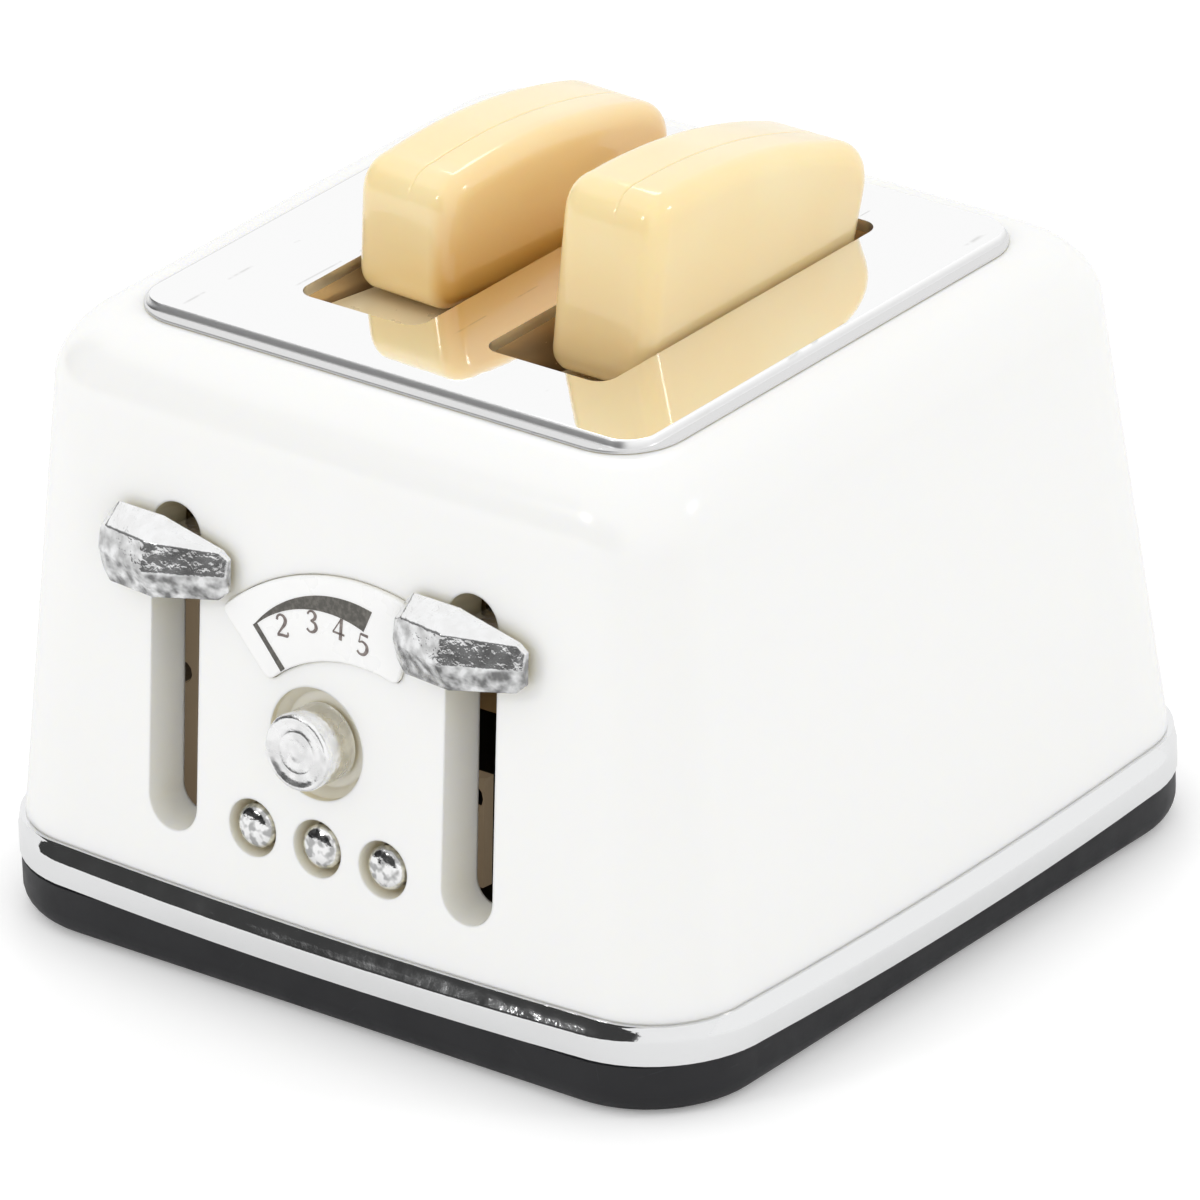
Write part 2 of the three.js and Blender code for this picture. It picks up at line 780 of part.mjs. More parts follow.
// Chrome trim ring between the pan and the shell
function baseTrim() {
  const bandTopZ = panZ + trimBandHeight;
  const ledgeWidth = bodyBottomWidth + 2 * trimLedge;
  const ledgeDepth = bodyBottomDepth + 2 * trimLedge;
  const ring = (width, depth, corner, bow, z) => ringAt(roundedOutline(width, depth, corner, bow), z);
  const between = (share, low, high) => THREE.MathUtils.lerp(low, high, share);
  const outer = solid(skin([
    ring(trimWidth, trimDepth, trimCorner, trimBow, panZ),
    ring(trimWidth, trimDepth, trimCorner, trimBow, bandTopZ),
    ...trimSlopeShares.map(([inShare, upShare]) => ring(
      between(inShare, trimWidth, ledgeWidth),
      between(inShare, trimDepth, ledgeDepth),
      between(inShare, trimCorner, bodyBottomCorner),
      between(inShare, trimBow, bodyBottomBow),
      between(upShare, bandTopZ, bodyBottomZ),
    )),
    ring(ledgeWidth, ledgeDepth, bodyBottomCorner, bodyBottomBow, bodyBottomZ),
  ]));
  const inner = solid(roundedBlock(
    trimInnerWidth,
    trimInnerDepth,
    trimInnerCorner,
    panZ - overrun,
    bodyBottomZ + overrun,
  ));
  return shaped(cut(outer, inner));
}

// Black pan that the toaster stands on
function basePan() {
  const edgeSteps = 4;
  const rings = [];
  for (let i = 0; i <= edgeSteps; i++) {
    const angle = (quarterTurn * i) / edgeSteps;
    const inset = panEdgeRadius * (1 - Math.sin(angle));
    const z = panEdgeRadius * (1 - Math.cos(angle));
    rings.push(ringAt(roundedOutline(panWidth - 2 * inset, panDepth - 2 * inset, panCorner - inset, 0), z));
  }
  rings.push(ringAt(roundedOutline(panWidth, panDepth, panCorner, 0), panZ));
  const hollow = solid(roundedBlock(
    panWidth - 2 * panWall,
    panDepth - 2 * panWall,
    panCorner - panWall,
    panFloor,
    panZ + overrun,
  ));
  const holes = screwPlaces().flatMap(([, x, y]) => [
    solid(barZ(screwRadius + runGap, x, y, -overrun, panFloor + overrun)),
    solid(barZ(screwHeadRadius + runGap, x, y, -overrun, screwSink + screwHeadHeight)),
  ]);
  return shaped(cut(solid(skin(rings)), hollow, ...holes));
}

// A cross-slotted screw standing on its head, with the head's face at height zero
function screw(headRadius, headHeight, radius, length) {
  const head = solid(barZ(headRadius, 0, 0, 0, headHeight));
  const shank = solid(barZ(radius, 0, 0, headHeight / 2, headHeight + length, smallSegments));
  const reach = headRadius * driveReachShare;
  const drive = [
    box(-reach, reach, -screwDriveWidth / 2, screwDriveWidth / 2, -overrun, screwDriveDepth),
    box(-screwDriveWidth / 2, screwDriveWidth / 2, -reach, reach, -overrun, screwDriveDepth),
  ];
  return cut(join(head, shank), ...drive.map(solid));
}

function baseScrew(x, y) {
  const geometry = shaped(screw(screwHeadRadius, screwHeadHeight, screwRadius, screwLength));
  return geometry.translate(x, y, screwSink);
}

// White fan-shaped dial plate, seated in a pocket of the front
function dialPlate() {
  return panelSlab(fanShape(0), -fanProud, fanSunk, smallSegments);
}

// Turning control
function knobHead() {
  const outer = turnedY([
    [0, -knobFront + knobDish],
    [knobRadius - 2 * knobChamfer, -knobFront + knobDish],
    [knobRadius - knobChamfer, -knobFront],
    [knobRadius, -knobFront + knobChamfer],
    [knobRadius, knobBack],
    [0, knobBack],
  ], roundSegments * 2);
  const bore = barY(shaftRadius + runGap, 0, knobBack - shaftInKnob - runGap, knobBack + overrun, 0);
  return shaped(cut(solid(outer), solid(bore))).translate(knobX, 0, knobHeight);
}

function knobShaft() {
  const grooveStart = clipDepth - grooveSpare;
  const grooveEnd = clipDepth + clipThickness + grooveSpare;
  return turnedY([
    [0, knobBack - shaftInKnob],
    [shaftRadius, knobBack - shaftInKnob],
    [shaftRadius, grooveStart],
    [grooveRadius, grooveStart],
    [grooveRadius, grooveEnd],
    [shaftRadius, grooveEnd],
    [shaftRadius, shaftReach],
    [0, shaftReach],
  ]).translate(knobX, 0, knobHeight);
}

function knobClip() {
  const disc = solid(barY(clipRadius, 0, clipDepth, clipDepth + clipThickness, 0));
  const boreEnd = clipDepth + clipThickness + overrun;
  const bore = solid(barY(grooveRadius + grooveSpare, 0, clipDepth - overrun, boreEnd, 0));
  const mouth = solid(box(
    -clipMouth / 2,
    clipMouth / 2,
    clipDepth - overrun,
    boreEnd,
    -clipRadius - overrun,
    0,
  ));
  return shaped(cut(disc, bore, mouth)).translate(knobX, 0, knobHeight);
}

// Push buttons: the flange behind the wall keeps each one in
function button(place) {
  const flangeFront = shellWall + seatGap;
  const flangeBack = flangeFront + buttonFlangeThickness;
  return turnedY([
    [0, -buttonFront - buttonDome],
    [buttonRadius * domeRingShare, -buttonFront - buttonDome * domeRiseShare],
    [buttonRadius, -buttonFront],
    [buttonRadius, flangeFront],
    [buttonFlangeRadius, flangeFront],
    [buttonFlangeRadius, flangeBack],
    [buttonStemRadius, flangeBack],
    [buttonStemRadius, buttonStemReach],
    [0, buttonStemReach],
  ], roundSegments).translate(panelX + place * buttonPitch, 0, buttonHeight);
}

function buttonSpring(place) {
  const front = shellWall + seatGap + buttonFlangeThickness + springSeat;
  const length = bracketFront - springSeat - front;
  const geometry = coil(buttonSpringRadius, buttonSpringWire, length, buttonSpringTurns);
  return geometry.rotateX(-quarterTurn).translate(panelX + place * buttonPitch, front, buttonHeight);
}

function buttonBracket() {
  const back = bracketFront + bracketThickness;
  const plate = solid(box(
    panelX - bracketWidth / 2,
    panelX + bracketWidth / 2,
    bracketFront,
    back,
    bracketBottom,
    bracketTop,
  ));
  const stemHoles = [-1, 0, 1].map((place) => solid(barY(
    buttonStemRadius + runGap,
    panelX + place * buttonPitch,
    bracketFront - overrun,
    back + overrun,
    buttonHeight,
  )));
  const postHoles = sides.map(([, side]) => solid(barY(
    postRadius + runGap,
    panelX + side * postOffset,
    bracketFront - overrun,
    back + overrun,
    postHeight,
    smallSegments,
  )));
  return shaped(cut(plate, ...stemHoles, ...postHoles));
}

// Lever: a faceted bar on a neck that goes in through the slot
function handleSection(x, depth, share) {
  const face = handleBack + depth;
  const under = handleBack + depth * handleUnderShare;
  const middle = new THREE.Vector3(x, -handleBack - depth / 2, (handleTop - handleBottom) / 2);
  return [
    [handleBack, handleTop - handleChamfer],
    [handleBack + handleChamfer, handleTop],
    [face - handleChamfer, handleFrontTop + handleChamfer / 2],
    [face, handleFrontTop - handleChamfer / 2],
    [face, -handleEdge],
    [under, -handleBottom],
    [handleBack + handleChamfer, -handleBottom],
    [handleBack, handleChamfer - handleBottom],
  ].map(([out, height]) => new THREE.Vector3(x, -out, height).lerp(middle, 1 - share));
}

function lever(side) {
  const end = handleWidth / 2;
  const bar = solid(skin([
    handleSection(handleShift - end, handleLeftDepth, handleEndShare),
    handleSection(handleShift - end + handleEndLength, handleLeftDepth, 1),
    handleSection(handleRidgeX, handleRidgeDepth, 1),
    handleSection(handleShift + end - handleEndLength, handleRightDepth, handleRightShare),
    handleSection(handleShift + end, handleRightDepth, handleRightShare * handleEndShare),
  ]));
  const neck = solid(box(
    -neckWidth / 2,
    neckWidth / 2,
    -handleBack - handleRightDepth / 2,
    neckReach,
    -neckHeight / 2,
    neckHeight / 2,
  ));
  return shaped(join(bar, neck)).translate(leverX(side), 0, leverRest);
}

// Carriage: a block on the guide rod, with an arm that runs sideways and up to a finger in the well
function liftCarriage(side) {
  const bottom = leverRest - carriageHeight / 2;
  const top = leverRest + carriageHeight / 2;
  const x = leverX(side);
  const armX = slotX(side);
  const armLeft = armX - armWidth / 2;
  const armRight = armX + armWidth / 2;
  const tip = fingerTip(side).applyMatrix4(panel.matrix.clone().invert());
  const block = box(x - carriageWidth / 2, x + carriageWidth / 2, carriageFront, carriageBack, bottom, top);
  const armBottom = top - armHeight;
  const across = box(Math.min(x, armLeft), Math.max(x, armRight), armFront, carriageBack, armBottom, top);
  const post = box(armLeft, armRight, armFront, carriageBack, armBottom, tip.z);
  const finger = box(armLeft, armRight, armFront, tip.y, tip.z - fingerHeight, tip.z);
  const bore = barZ(rodRadius + runGap, x, rodDepth, bottom - overrun, top + overrun, smallSegments);
  const socket = box(
    x - neckWidth / 2 - runGap,
    x + neckWidth / 2 + runGap,
    carriageFront - overrun,
    neckReach + runGap,
    leverRest - neckHeight / 2 - runGap,
    leverRest + neckHeight / 2 + runGap,
  );
  return shaped(cut(join(...[block, across, post, finger].map(solid)), solid(bore), solid(socket)));
}

function guideRod(side) {
  const top = leverRest + carriageHeight / 2 + frameStopGap + frameTopBar;
  return barZ(rodRadius, leverX(side), rodDepth, frameBottom, top, smallSegments);
}

function liftSpring(side) {
  const foot = frameBottom + frameBar + springSeat;
  const length = leverRest - carriageHeight / 2 - springSeat - foot;
  return coil(springRadius, springWire, length, springTurns).translate(leverX(side), rodDepth, foot);
}

// Ring-shaped frame that holds both rods behind the front
function mechanismFrame() {
  const half = frameUprightX + frameUprightWidth / 2;
  const stop = leverRest + carriageHeight / 2 + frameStopGap;
  const top = stop + frameTopBar;
  const lowerBar = box(-half, half, frameFront, frameBack, frameBottom, frameBottom + frameBar);
  const upperBar = box(-half, half, frameFront, frameBack, stop, top);
  const uprights = sides.map(([, side]) => solid(box(
    side * frameUprightX - frameUprightWidth / 2,
    side * frameUprightX + frameUprightWidth / 2,
    frameUprightFront,
    frameBack,
    frameBottom + frameBar / 2,
    top - frameTopBar / 2,
  )));
  const rodHoles = sides.map(([, side]) => solid(barZ(
    rodRadius + runGap,
    side * leverOffset,
    rodDepth,
    frameBottom - overrun,
    top + overrun,
    smallSegments,
  )));
  const screwHoles = sides.map(([, side]) => solid(barY(
    frameScrewRadius + runGap,
    side * frameUprightX,
    frameUprightFront - overrun,
    frameBack + overrun,
    frameScrewHeight,
    smallSegments,
  )));
  const frame = cut(join(solid(lowerBar), solid(upperBar), ...uprights), ...rodHoles, ...screwHoles);
  return shaped(frame).translate(panelX, 0, 0);
}

function frameScrew(side) {
  const reach = frameBack - frameUprightFront + frameScrewBite;
  const geometry = shaped(screw(frameScrewHeadRadius, frameScrewHeadHeight, frameScrewRadius, reach));
  const headFace = frameBack + runGap + frameScrewHeadHeight;
  return geometry.rotateX(quarterTurn).translate(panelX + side * frameUprightX, headFace, frameScrewHeight);
}

// Toast slice in its own leaning frame: Y runs back along its foot and Z up its front end
function toastOutline(inset, cornerHeight) {
  const low = toastBottomCorner - inset;
  const high = toastTopCorner - inset;
  const rearHigh = toastRearCorner - inset;
  const front = inset;
  const rearAt = (height) => toastLength - inset + toastFlareShare * height;
  const foot = inset;
  const brow = cornerHeight - inset;
  const crown = brow + toastDome * toastCrownLiftShare;
  const frontBend = brow + toastDome * toastFrontBendShare;
  const rearBend = brow + toastDome * toastRearBendShare;
  const shape = new THREE.Shape();
  shape.moveTo(front + low, foot);
  shape.lineTo(rearAt(foot) - low, foot);
  shape.quadraticCurveTo(rearAt(foot), foot, rearAt(foot + low), foot + low);
  shape.lineTo(rearAt(brow - rearHigh), brow - rearHigh);
  shape.quadraticCurveTo(rearAt(brow), brow, rearAt(brow) - rearHigh, rearBend);
  shape.quadraticCurveTo(toastLength * toastCrownShare, crown, front + high, frontBend);
  shape.quadraticCurveTo(front, brow, front, brow - high);
  shape.lineTo(front, foot + low);
  shape.quadraticCurveTo(front, foot, front + low, foot);
  return shape.getPoints(toastCurveSteps).slice(0, -1);
}

function breadSlice(side) {
  const rings = [];
  const cornerHeight = side < 0 ? leftCornerHeight : rightCornerHeight;
  const addRing = (x, inset) => {
    rings.push(toastOutline(inset, cornerHeight).map((point) => new THREE.Vector3(x, point.x, point.y)));
  };
  const flat = toastThickness / 2 - toastEdge;
  for (let i = 0; i <= toastEdgeSteps; i++) {
    const angle = (quarterTurn * i) / toastEdgeSteps;
    addRing(-flat - toastEdge * Math.cos(angle), toastEdge * (1 - Math.sin(angle)));
  }
  for (let i = toastEdgeSteps; i >= 0; i--) {
    const angle = (quarterTurn * i) / toastEdgeSteps;
    addRing(flat + toastEdge * Math.cos(angle), toastEdge * (1 - Math.sin(angle)));
  }
  return skin(rings);
}

// Shiny tray under a slice, on the carriage's finger
function breadTray(side) {
  return box(
    -trayWidth / 2,
    trayWidth / 2,
    -trayAhead(side),
    toastLength + trayBeyond,
    -seatGap - trayThickness,
    -seatGap,
  );
}

// Assembly
const toaster = new THREE.Group();
toaster.add(piece('base_pan', basePan(), looks.pan));
toaster.add(piece('base_trim', baseTrim(), looks.chrome));
toaster.add(piece('outer_shell', outerShell(), looks.shell));
toaster.add(piece('top_plate', topPlate(), looks.chrome));
for (const [place, x, y] of screwPlaces()) {
  toaster.add(piece(`base_screw_${place}`, baseScrew(x, y), looks.steel));
}

panel.add(piece('dial_plate', dialPlate(), looks.dial));
panel.add(piece('control_knob', knobHead(), looks.chrome));
panel.add(piece('knob_shaft', knobShaft(), looks.steel));
panel.add(piece('knob_clip', knobClip(), looks.steel));
for (const [name, place] of [['left', -1], ['middle', 0], ['right', 1]]) {
  panel.add(piece(`button_${name}`, button(place), looks.chrome));
  panel.add(piece(`button_spring_${name}`, buttonSpring(place), looks.steel));
}
panel.add(piece('button_bracket', buttonBracket(), looks.innerPlastic));
panel.add(piece('mechanism_frame', mechanismFrame(), looks.innerPlastic));

for (const [name, side] of sides) {
  toaster.add(piece(`bread_well_${name}`, breadWell(side), looks.chrome));
  panel.add(piece(`lever_${name}`, lever(side), looks.chrome));
  panel.add(piece(`lift_carriage_${name}`, liftCarriage(side), looks.brass));
  panel.add(piece(`guide_rod_${name}`, guideRod(side), looks.steel));
  panel.add(piece(`lift_spring_${name}`, liftSpring(side), looks.steel));
  panel.add(piece(`frame_screw_${name}`, frameScrew(side), looks.steel));
  const rack = new THREE.Group();
  rack.applyMatrix4(rackFrame(side));
  rack.add(piece(`bread_slice_${name}`, breadSlice(side), looks.toast));
  rack.add(piece(`bread_tray_${name}`, breadTray(side), looks.chrome));
  toaster.add(rack);
}
toaster.add(panel);

export default toaster;
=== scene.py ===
"""Looks of a miniature toy toaster with two toast slices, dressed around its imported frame.

Lengths are written in millimetres and turned into metres where a mesh is made. The front panel leans,
so its controls are placed in panel coordinates: x, how far out of the face, and the height up the face.
"""

import json
import math

import bmesh
import bpy
from mathutils import Matrix, Vector


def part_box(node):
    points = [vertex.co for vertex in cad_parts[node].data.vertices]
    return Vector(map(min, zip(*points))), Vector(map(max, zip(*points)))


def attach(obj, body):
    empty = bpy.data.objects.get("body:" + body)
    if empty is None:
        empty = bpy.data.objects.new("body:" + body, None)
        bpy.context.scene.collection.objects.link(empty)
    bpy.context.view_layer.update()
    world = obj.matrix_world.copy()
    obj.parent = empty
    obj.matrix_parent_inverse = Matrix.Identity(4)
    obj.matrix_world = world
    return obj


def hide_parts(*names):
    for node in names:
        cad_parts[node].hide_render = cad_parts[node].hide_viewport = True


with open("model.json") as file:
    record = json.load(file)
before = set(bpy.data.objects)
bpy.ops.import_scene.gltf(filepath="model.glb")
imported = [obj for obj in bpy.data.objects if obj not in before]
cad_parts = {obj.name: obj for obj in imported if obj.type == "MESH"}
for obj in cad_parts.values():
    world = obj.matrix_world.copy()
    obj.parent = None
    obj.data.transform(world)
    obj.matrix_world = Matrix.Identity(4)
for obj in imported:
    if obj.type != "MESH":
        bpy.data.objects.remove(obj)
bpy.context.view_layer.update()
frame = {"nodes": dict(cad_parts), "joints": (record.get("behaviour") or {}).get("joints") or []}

MM = 0.001
QUARTER = math.pi / 2

joints = {joint["name"]: joint for joint in frame["joints"]}


def low(node):
    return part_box(node)[0] / MM


def high(node):
    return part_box(node)[1] / MM


# The leaning front, worked out from the joints of the left lever, the left button and the knob
PANEL_UP = -Vector(joints["lever_left_slide"]["axis"])
PANEL_OUT = -Vector(joints["button_left_press"]["axis"])
KNOB_HEIGHT = 6.92
KNOB_CENTRE = Vector(joints["knob_turn"]["pos_m"]) / MM
PANEL_ORIGIN = KNOB_CENTRE - PANEL_UP * KNOB_HEIGHT - Vector((KNOB_CENTRE.x, 0, 0))
LEAN_SLOPE = PANEL_UP.y / PANEL_UP.z
PANEL = Matrix((
    (1, 0, PANEL_UP.x, PANEL_ORIGIN.x),
    (0, -PANEL_OUT.y, PANEL_UP.y, PANEL_ORIGIN.y),
    (0, -PANEL_OUT.z, PANEL_UP.z, PANEL_ORIGIN.z),
    (0, 0, 0, 1),
))


# Body sizes: the same walls as the frame's, with finer corners. A bow is how far a side bulges
BODY_BOTTOM = high("base_trim").z
PLATE_LEDGE = high("outer_shell").z
PLATE_TOP = high("top_plate").z
SHOULDER = 20.0
BOTTOM_SIZE = (31.0, 30.66)
BOTTOM_CORNER = 3.6
BOTTOM_BOW = 0.35
SHOULDER_SIZE = (28.1, 27.72)
SHOULDER_CORNER = 3.2
SHOULDER_BOW = 0.14
TOP_CORNER = 2.5
TOP_EDGE = 0.06                 # shell left showing round the plate
WALL = 1.2
ROOF = 1.15

PLATE_SIZE = (high("top_plate").x * 2, high("top_plate").y * 2)
PLATE_CORNER = 2.4
PLATE_STEP_CORNER = 1.2
PLATE_RIM_WIDTH = 0.45
PLATE_RIM_HEIGHT = 0.14
PLATE_STEP_REACH = 0.08         # half the width over which the raised middle climbs
PLATE_FOOT_GAP = 0.06           # the foot of the rim stands back, which leaves a thin dark line
PLATE_SOFT = 0.06               # rounding of the rim's edge
PLATE_BEARING = 1.0             # how far the shell's ledge reaches in under the plate

SLOT_X = (-3.875, 4.375)
SLOT_WIDTH = 5.4
SLOT_FRONT = -7.5
SLOT_REAR = 8.2
SLOT_CORNER = 0.7

LEVER_X = (-6.7, 6.4)
LEVER_REST = 12.3
LEVER_SLOT_FOOT = 1.96
LEVER_SLOT_TOP = 14.2
LEVER_SLOT_WIDTH = 2.2
SLOT_LINER = 0.4                # thickness of the collar behind each lever slot
SLOT_DEEP = 1.5                 # depth of that collar from the face
SLOT_TAPER = 0.2                # how far the slot closes in over that depth

KNOB_RECESS = {"wide": 2.05, "narrow": 1.75, "depth": 0.36}
KNOB_RADIUS = 1.41
KNOB_FRONT = 1.4

BUTTON_X = {"left": -3.05, "middle": -0.15, "right": 2.75}
BUTTON_HEIGHT = 3.05
BUTTON_RECESS = {"wide": 1.06, "narrow": 0.86, "depth": 0.5}
BUTTON_HOLE = 0.8

CUT_OVER = 1.0                  # how far a cutter reaches past what it cuts
FACE_OVER = 1.5                 # the same in front of the leaning face

SIDES = ("left", "right")


# Mesh helpers

def new_object(name, vertices, faces):
    mesh = bpy.data.meshes.new(name)
    mesh.from_pydata([tuple(Vector(v) * MM) for v in vertices], [], faces)
    mesh.update()
    piece = bpy.data.objects.new(name, mesh)
    bpy.context.scene.collection.objects.link(piece)
    return piece


def smooth(piece, angle):
    """Smooth shading that stays sharp over edges steeper than the angle."""
    piece.data.shade_smooth()
    piece.data.set_sharp_from_angle(angle=math.radians(angle))


def blend(a, b, share):
    return a + (b - a) * share


def shrunk(size, by):
    """A width and depth less the same margin on every side."""
    return (size[0] - 2 * by, size[1] - 2 * by)


def curve(a, b, c, steps):
    """Points of a quadratic curve after its first."""
    shares = [k / steps for k in range(1, steps + 1)]
    return [(1 - t) ** 2 * a + 2 * t * (1 - t) * b + t * t * c for t in shares]


def line(a, b, steps):
    """Points of a straight line after its first."""
    return [a.lerp(b, k / steps) for k in range(1, steps + 1)]


def circle_outline(x, height, radius, segments=64):
    angles = [2 * math.pi * i / segments for i in range(segments)]
    return [(x + radius * math.cos(a), height + radius * math.sin(a)) for a in angles]


def rounded_outline(size, corner, bow=0.0, corner_steps=14, side_steps=10):
    """A rounded rectangle whose sides bow outward, anticlockwise from the lower right corner."""
    half_x = size[0] / 2 - corner
    half_y = size[1] / 2 - corner
    centres = [Vector((sx * half_x, sy * half_y)) for sx, sy in ((1, -1), (1, 1), (-1, 1), (-1, -1))]
    points = []
    for k, centre in enumerate(centres):
        start = (k - 1) * QUARTER
        for i in range(corner_steps + 1):
            angle = start + QUARTER * i / corner_steps
            points.append(centre + corner * Vector((math.cos(angle), math.sin(angle))))
        outward = Vector((math.cos(start + QUARTER), math.sin(start + QUARTER)))
        first = centre + corner * outward
        last = centres[(k + 1) % 4] + corner * outward
        for j in range(1, side_steps):
            along = j / side_steps
            points.append(first.lerp(last, along) + outward * bow * 4 * along * (1 - along))
    return points


def ring(outline, z):
    """A level ring of points over an outline."""
    return [Vector((p.x, p.y, z)) for p in outline]


def rounded_ring(size, corner, z, bow=0.0):
    return ring(rounded_outline(size, corner, bow), z)


def loft(name, rings):
    """A closed body over rings of equal length."""
    count = len(rings[0])
    vertices = [v for one in rings for v in one]
    faces = []
    for r in range(len(rings) - 1):
        for i in range(count):
            here = r * count + i
            following = r * count + (i + 1) % count
            faces.append((here, following, following + count, here + count))
    faces.append(tuple(reversed(range(count))))
    faces.append(tuple(range((len(rings) - 1) * count, len(rings) * count)))
    return new_object(name, vertices, faces)


def revolve(name, profile, segments):
    """A turned body round the panel's outward axis: profile points hold the radius and how far out."""
    vertices = []
    rows = []
    for radius, out in profile:
        if radius == 0:
            rows.append([len(vertices)] * segments)
            vertices.append(Vector((0, -out, 0)))
            continue
        row = []
        for i in range(segments):
            angle = 2 * math.pi * i / segments
            row.append(len(vertices))
            vertices.append(Vector((radius * math.cos(angle), -out, radius * math.sin(angle))))
        rows.append(row)
    faces = []
    for a, b in zip(rows, rows[1:]):
        for i in range(segments):
            j = (i + 1) % segments
            unique = list(dict.fromkeys([a[i], a[j], b[j], b[i]]))
            if len(unique) > 2:
                faces.append(tuple(unique))
    return fix_normals(new_object(name, vertices, faces))


def fix_normals(piece):
    work = bmesh.new()
    work.from_mesh(piece.data)
    bmesh.ops.recalc_face_normals(work, faces=work.faces)
    work.to_mesh(piece.data)
    work.free()
    return piece


def prism(name, outline, near, far):
    """An outline of (x, height) points made solid between two distances out of the panel."""
    count = len(outline)
    vertices = [Vector((x, -near, h)) for x, h in outline] + [Vector((x, -far, h)) for x, h in outline]
    faces = [(i, (i + 1) % count, (i + 1) % count + count, i + count) for i in range(count)]
    faces.append(tuple(range(count)))
    faces.append(tuple(reversed(range(count, 2 * count))))
    return fix_normals(new_object(name, vertices, faces))


def panel_loft(name, outline_at, layers):
    """A solid through outlines of (x, height), one for each (how far out, size) of the layers."""
    rings = [[Vector((x, -out, height)) for x, height in outline_at(size)] for out, size in layers]
    return fix_normals(loft(name, rings))


def on_panel(piece, x=0.0, height=0.0):
    """Moves a mesh made round the panel's origin to its place on the panel."""
    place = Matrix.Translation(PANEL_ORIGIN * MM) @ PANEL.to_3x3().to_4x4()
    piece.data.transform(place @ Matrix.Translation(Vector((x, 0, height)) * MM))
    return piece


def leaned(piece):
    """Leans a mesh back by the front's slope, about the height of the plate's top."""
    for vertex in piece.data.vertices:
        vertex.co.y += (vertex.co.z - PLATE_TOP * MM) * LEAN_SLOPE
    return piece


def combine(piece, others, operation):
    """Joins solids to a piece, or cuts them out of it, and uses them up."""
    for other in others:
        change = piece.modifiers.new("combine", "BOOLEAN")
        change.operation = operation
        change.solver = "EXACT"
        change.object = other
    bake_modifiers(piece)
    for other in others:
        bpy.data.objects.remove(other)


def carve(piece, cutters):
    combine(piece, cutters, "DIFFERENCE")


def join(piece, others):
    combine(piece, others, "UNION")


def bake_modifiers(piece):
    bpy.context.view_layer.update()
    graph = bpy.context.evaluated_depsgraph_get()
    made = bpy.data.meshes.new_from_object(piece.evaluated_get(graph))
    piece.modifiers.clear()
    old = piece.data
    piece.data = made
    bpy.data.meshes.remove(old)


def bevel(piece, width, segments, angle, sharp):
    """Rounds the edges steeper than the angle, and keeps those steeper than sharp crisp."""
    change = piece.modifiers.new("edge", "BEVEL")
    change.width = width * MM
    change.segments = segments
    change.limit_method = "ANGLE"
    change.angle_limit = math.radians(angle)
    bake_modifiers(piece)
    smooth(piece, sharp)


def dress(piece, look, body, replaces=()):
    """Gives a piece its material, the nodes it stands for and the body it rides on."""
    piece.data.materials.clear()
    piece.data.materials.append(look)
    if replaces:
        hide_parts(*replaces)
    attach(piece, body)


# Material helpers

CHROME = (0.93, 0.935, 0.94)


def feed(tree, socket, value):
    """Gives a socket a link or a plain value."""
    if isinstance(value, bpy.types.NodeSocket):
        tree.links.new(value, socket)
    elif isinstance(value, tuple) and len(value) == 3 and len(socket.default_value) == 4:
        socket.default_value = (*value, 1)
    else:
        socket.default_value = value


def math_node(tree, operation, a, b):
    node = tree.nodes.new("ShaderNodeMath")
    node.operation = operation
    for socket, value in zip(node.inputs, (a, b)):
        feed(tree, socket, value)
    return node.outputs[0]


def soft_step(tree, value, first, last):
    """Rises smoothly from 0 at the first level to 1 at the last, or falls where the first is higher."""
    node = tree.nodes.new("ShaderNodeMapRange")
    node.interpolation_type = "SMOOTHSTEP"
    for name, given in (("Value", value), ("From Min", first), ("From Max", last)):
        feed(tree, node.inputs[name], given)
    return node.outputs["Result"]


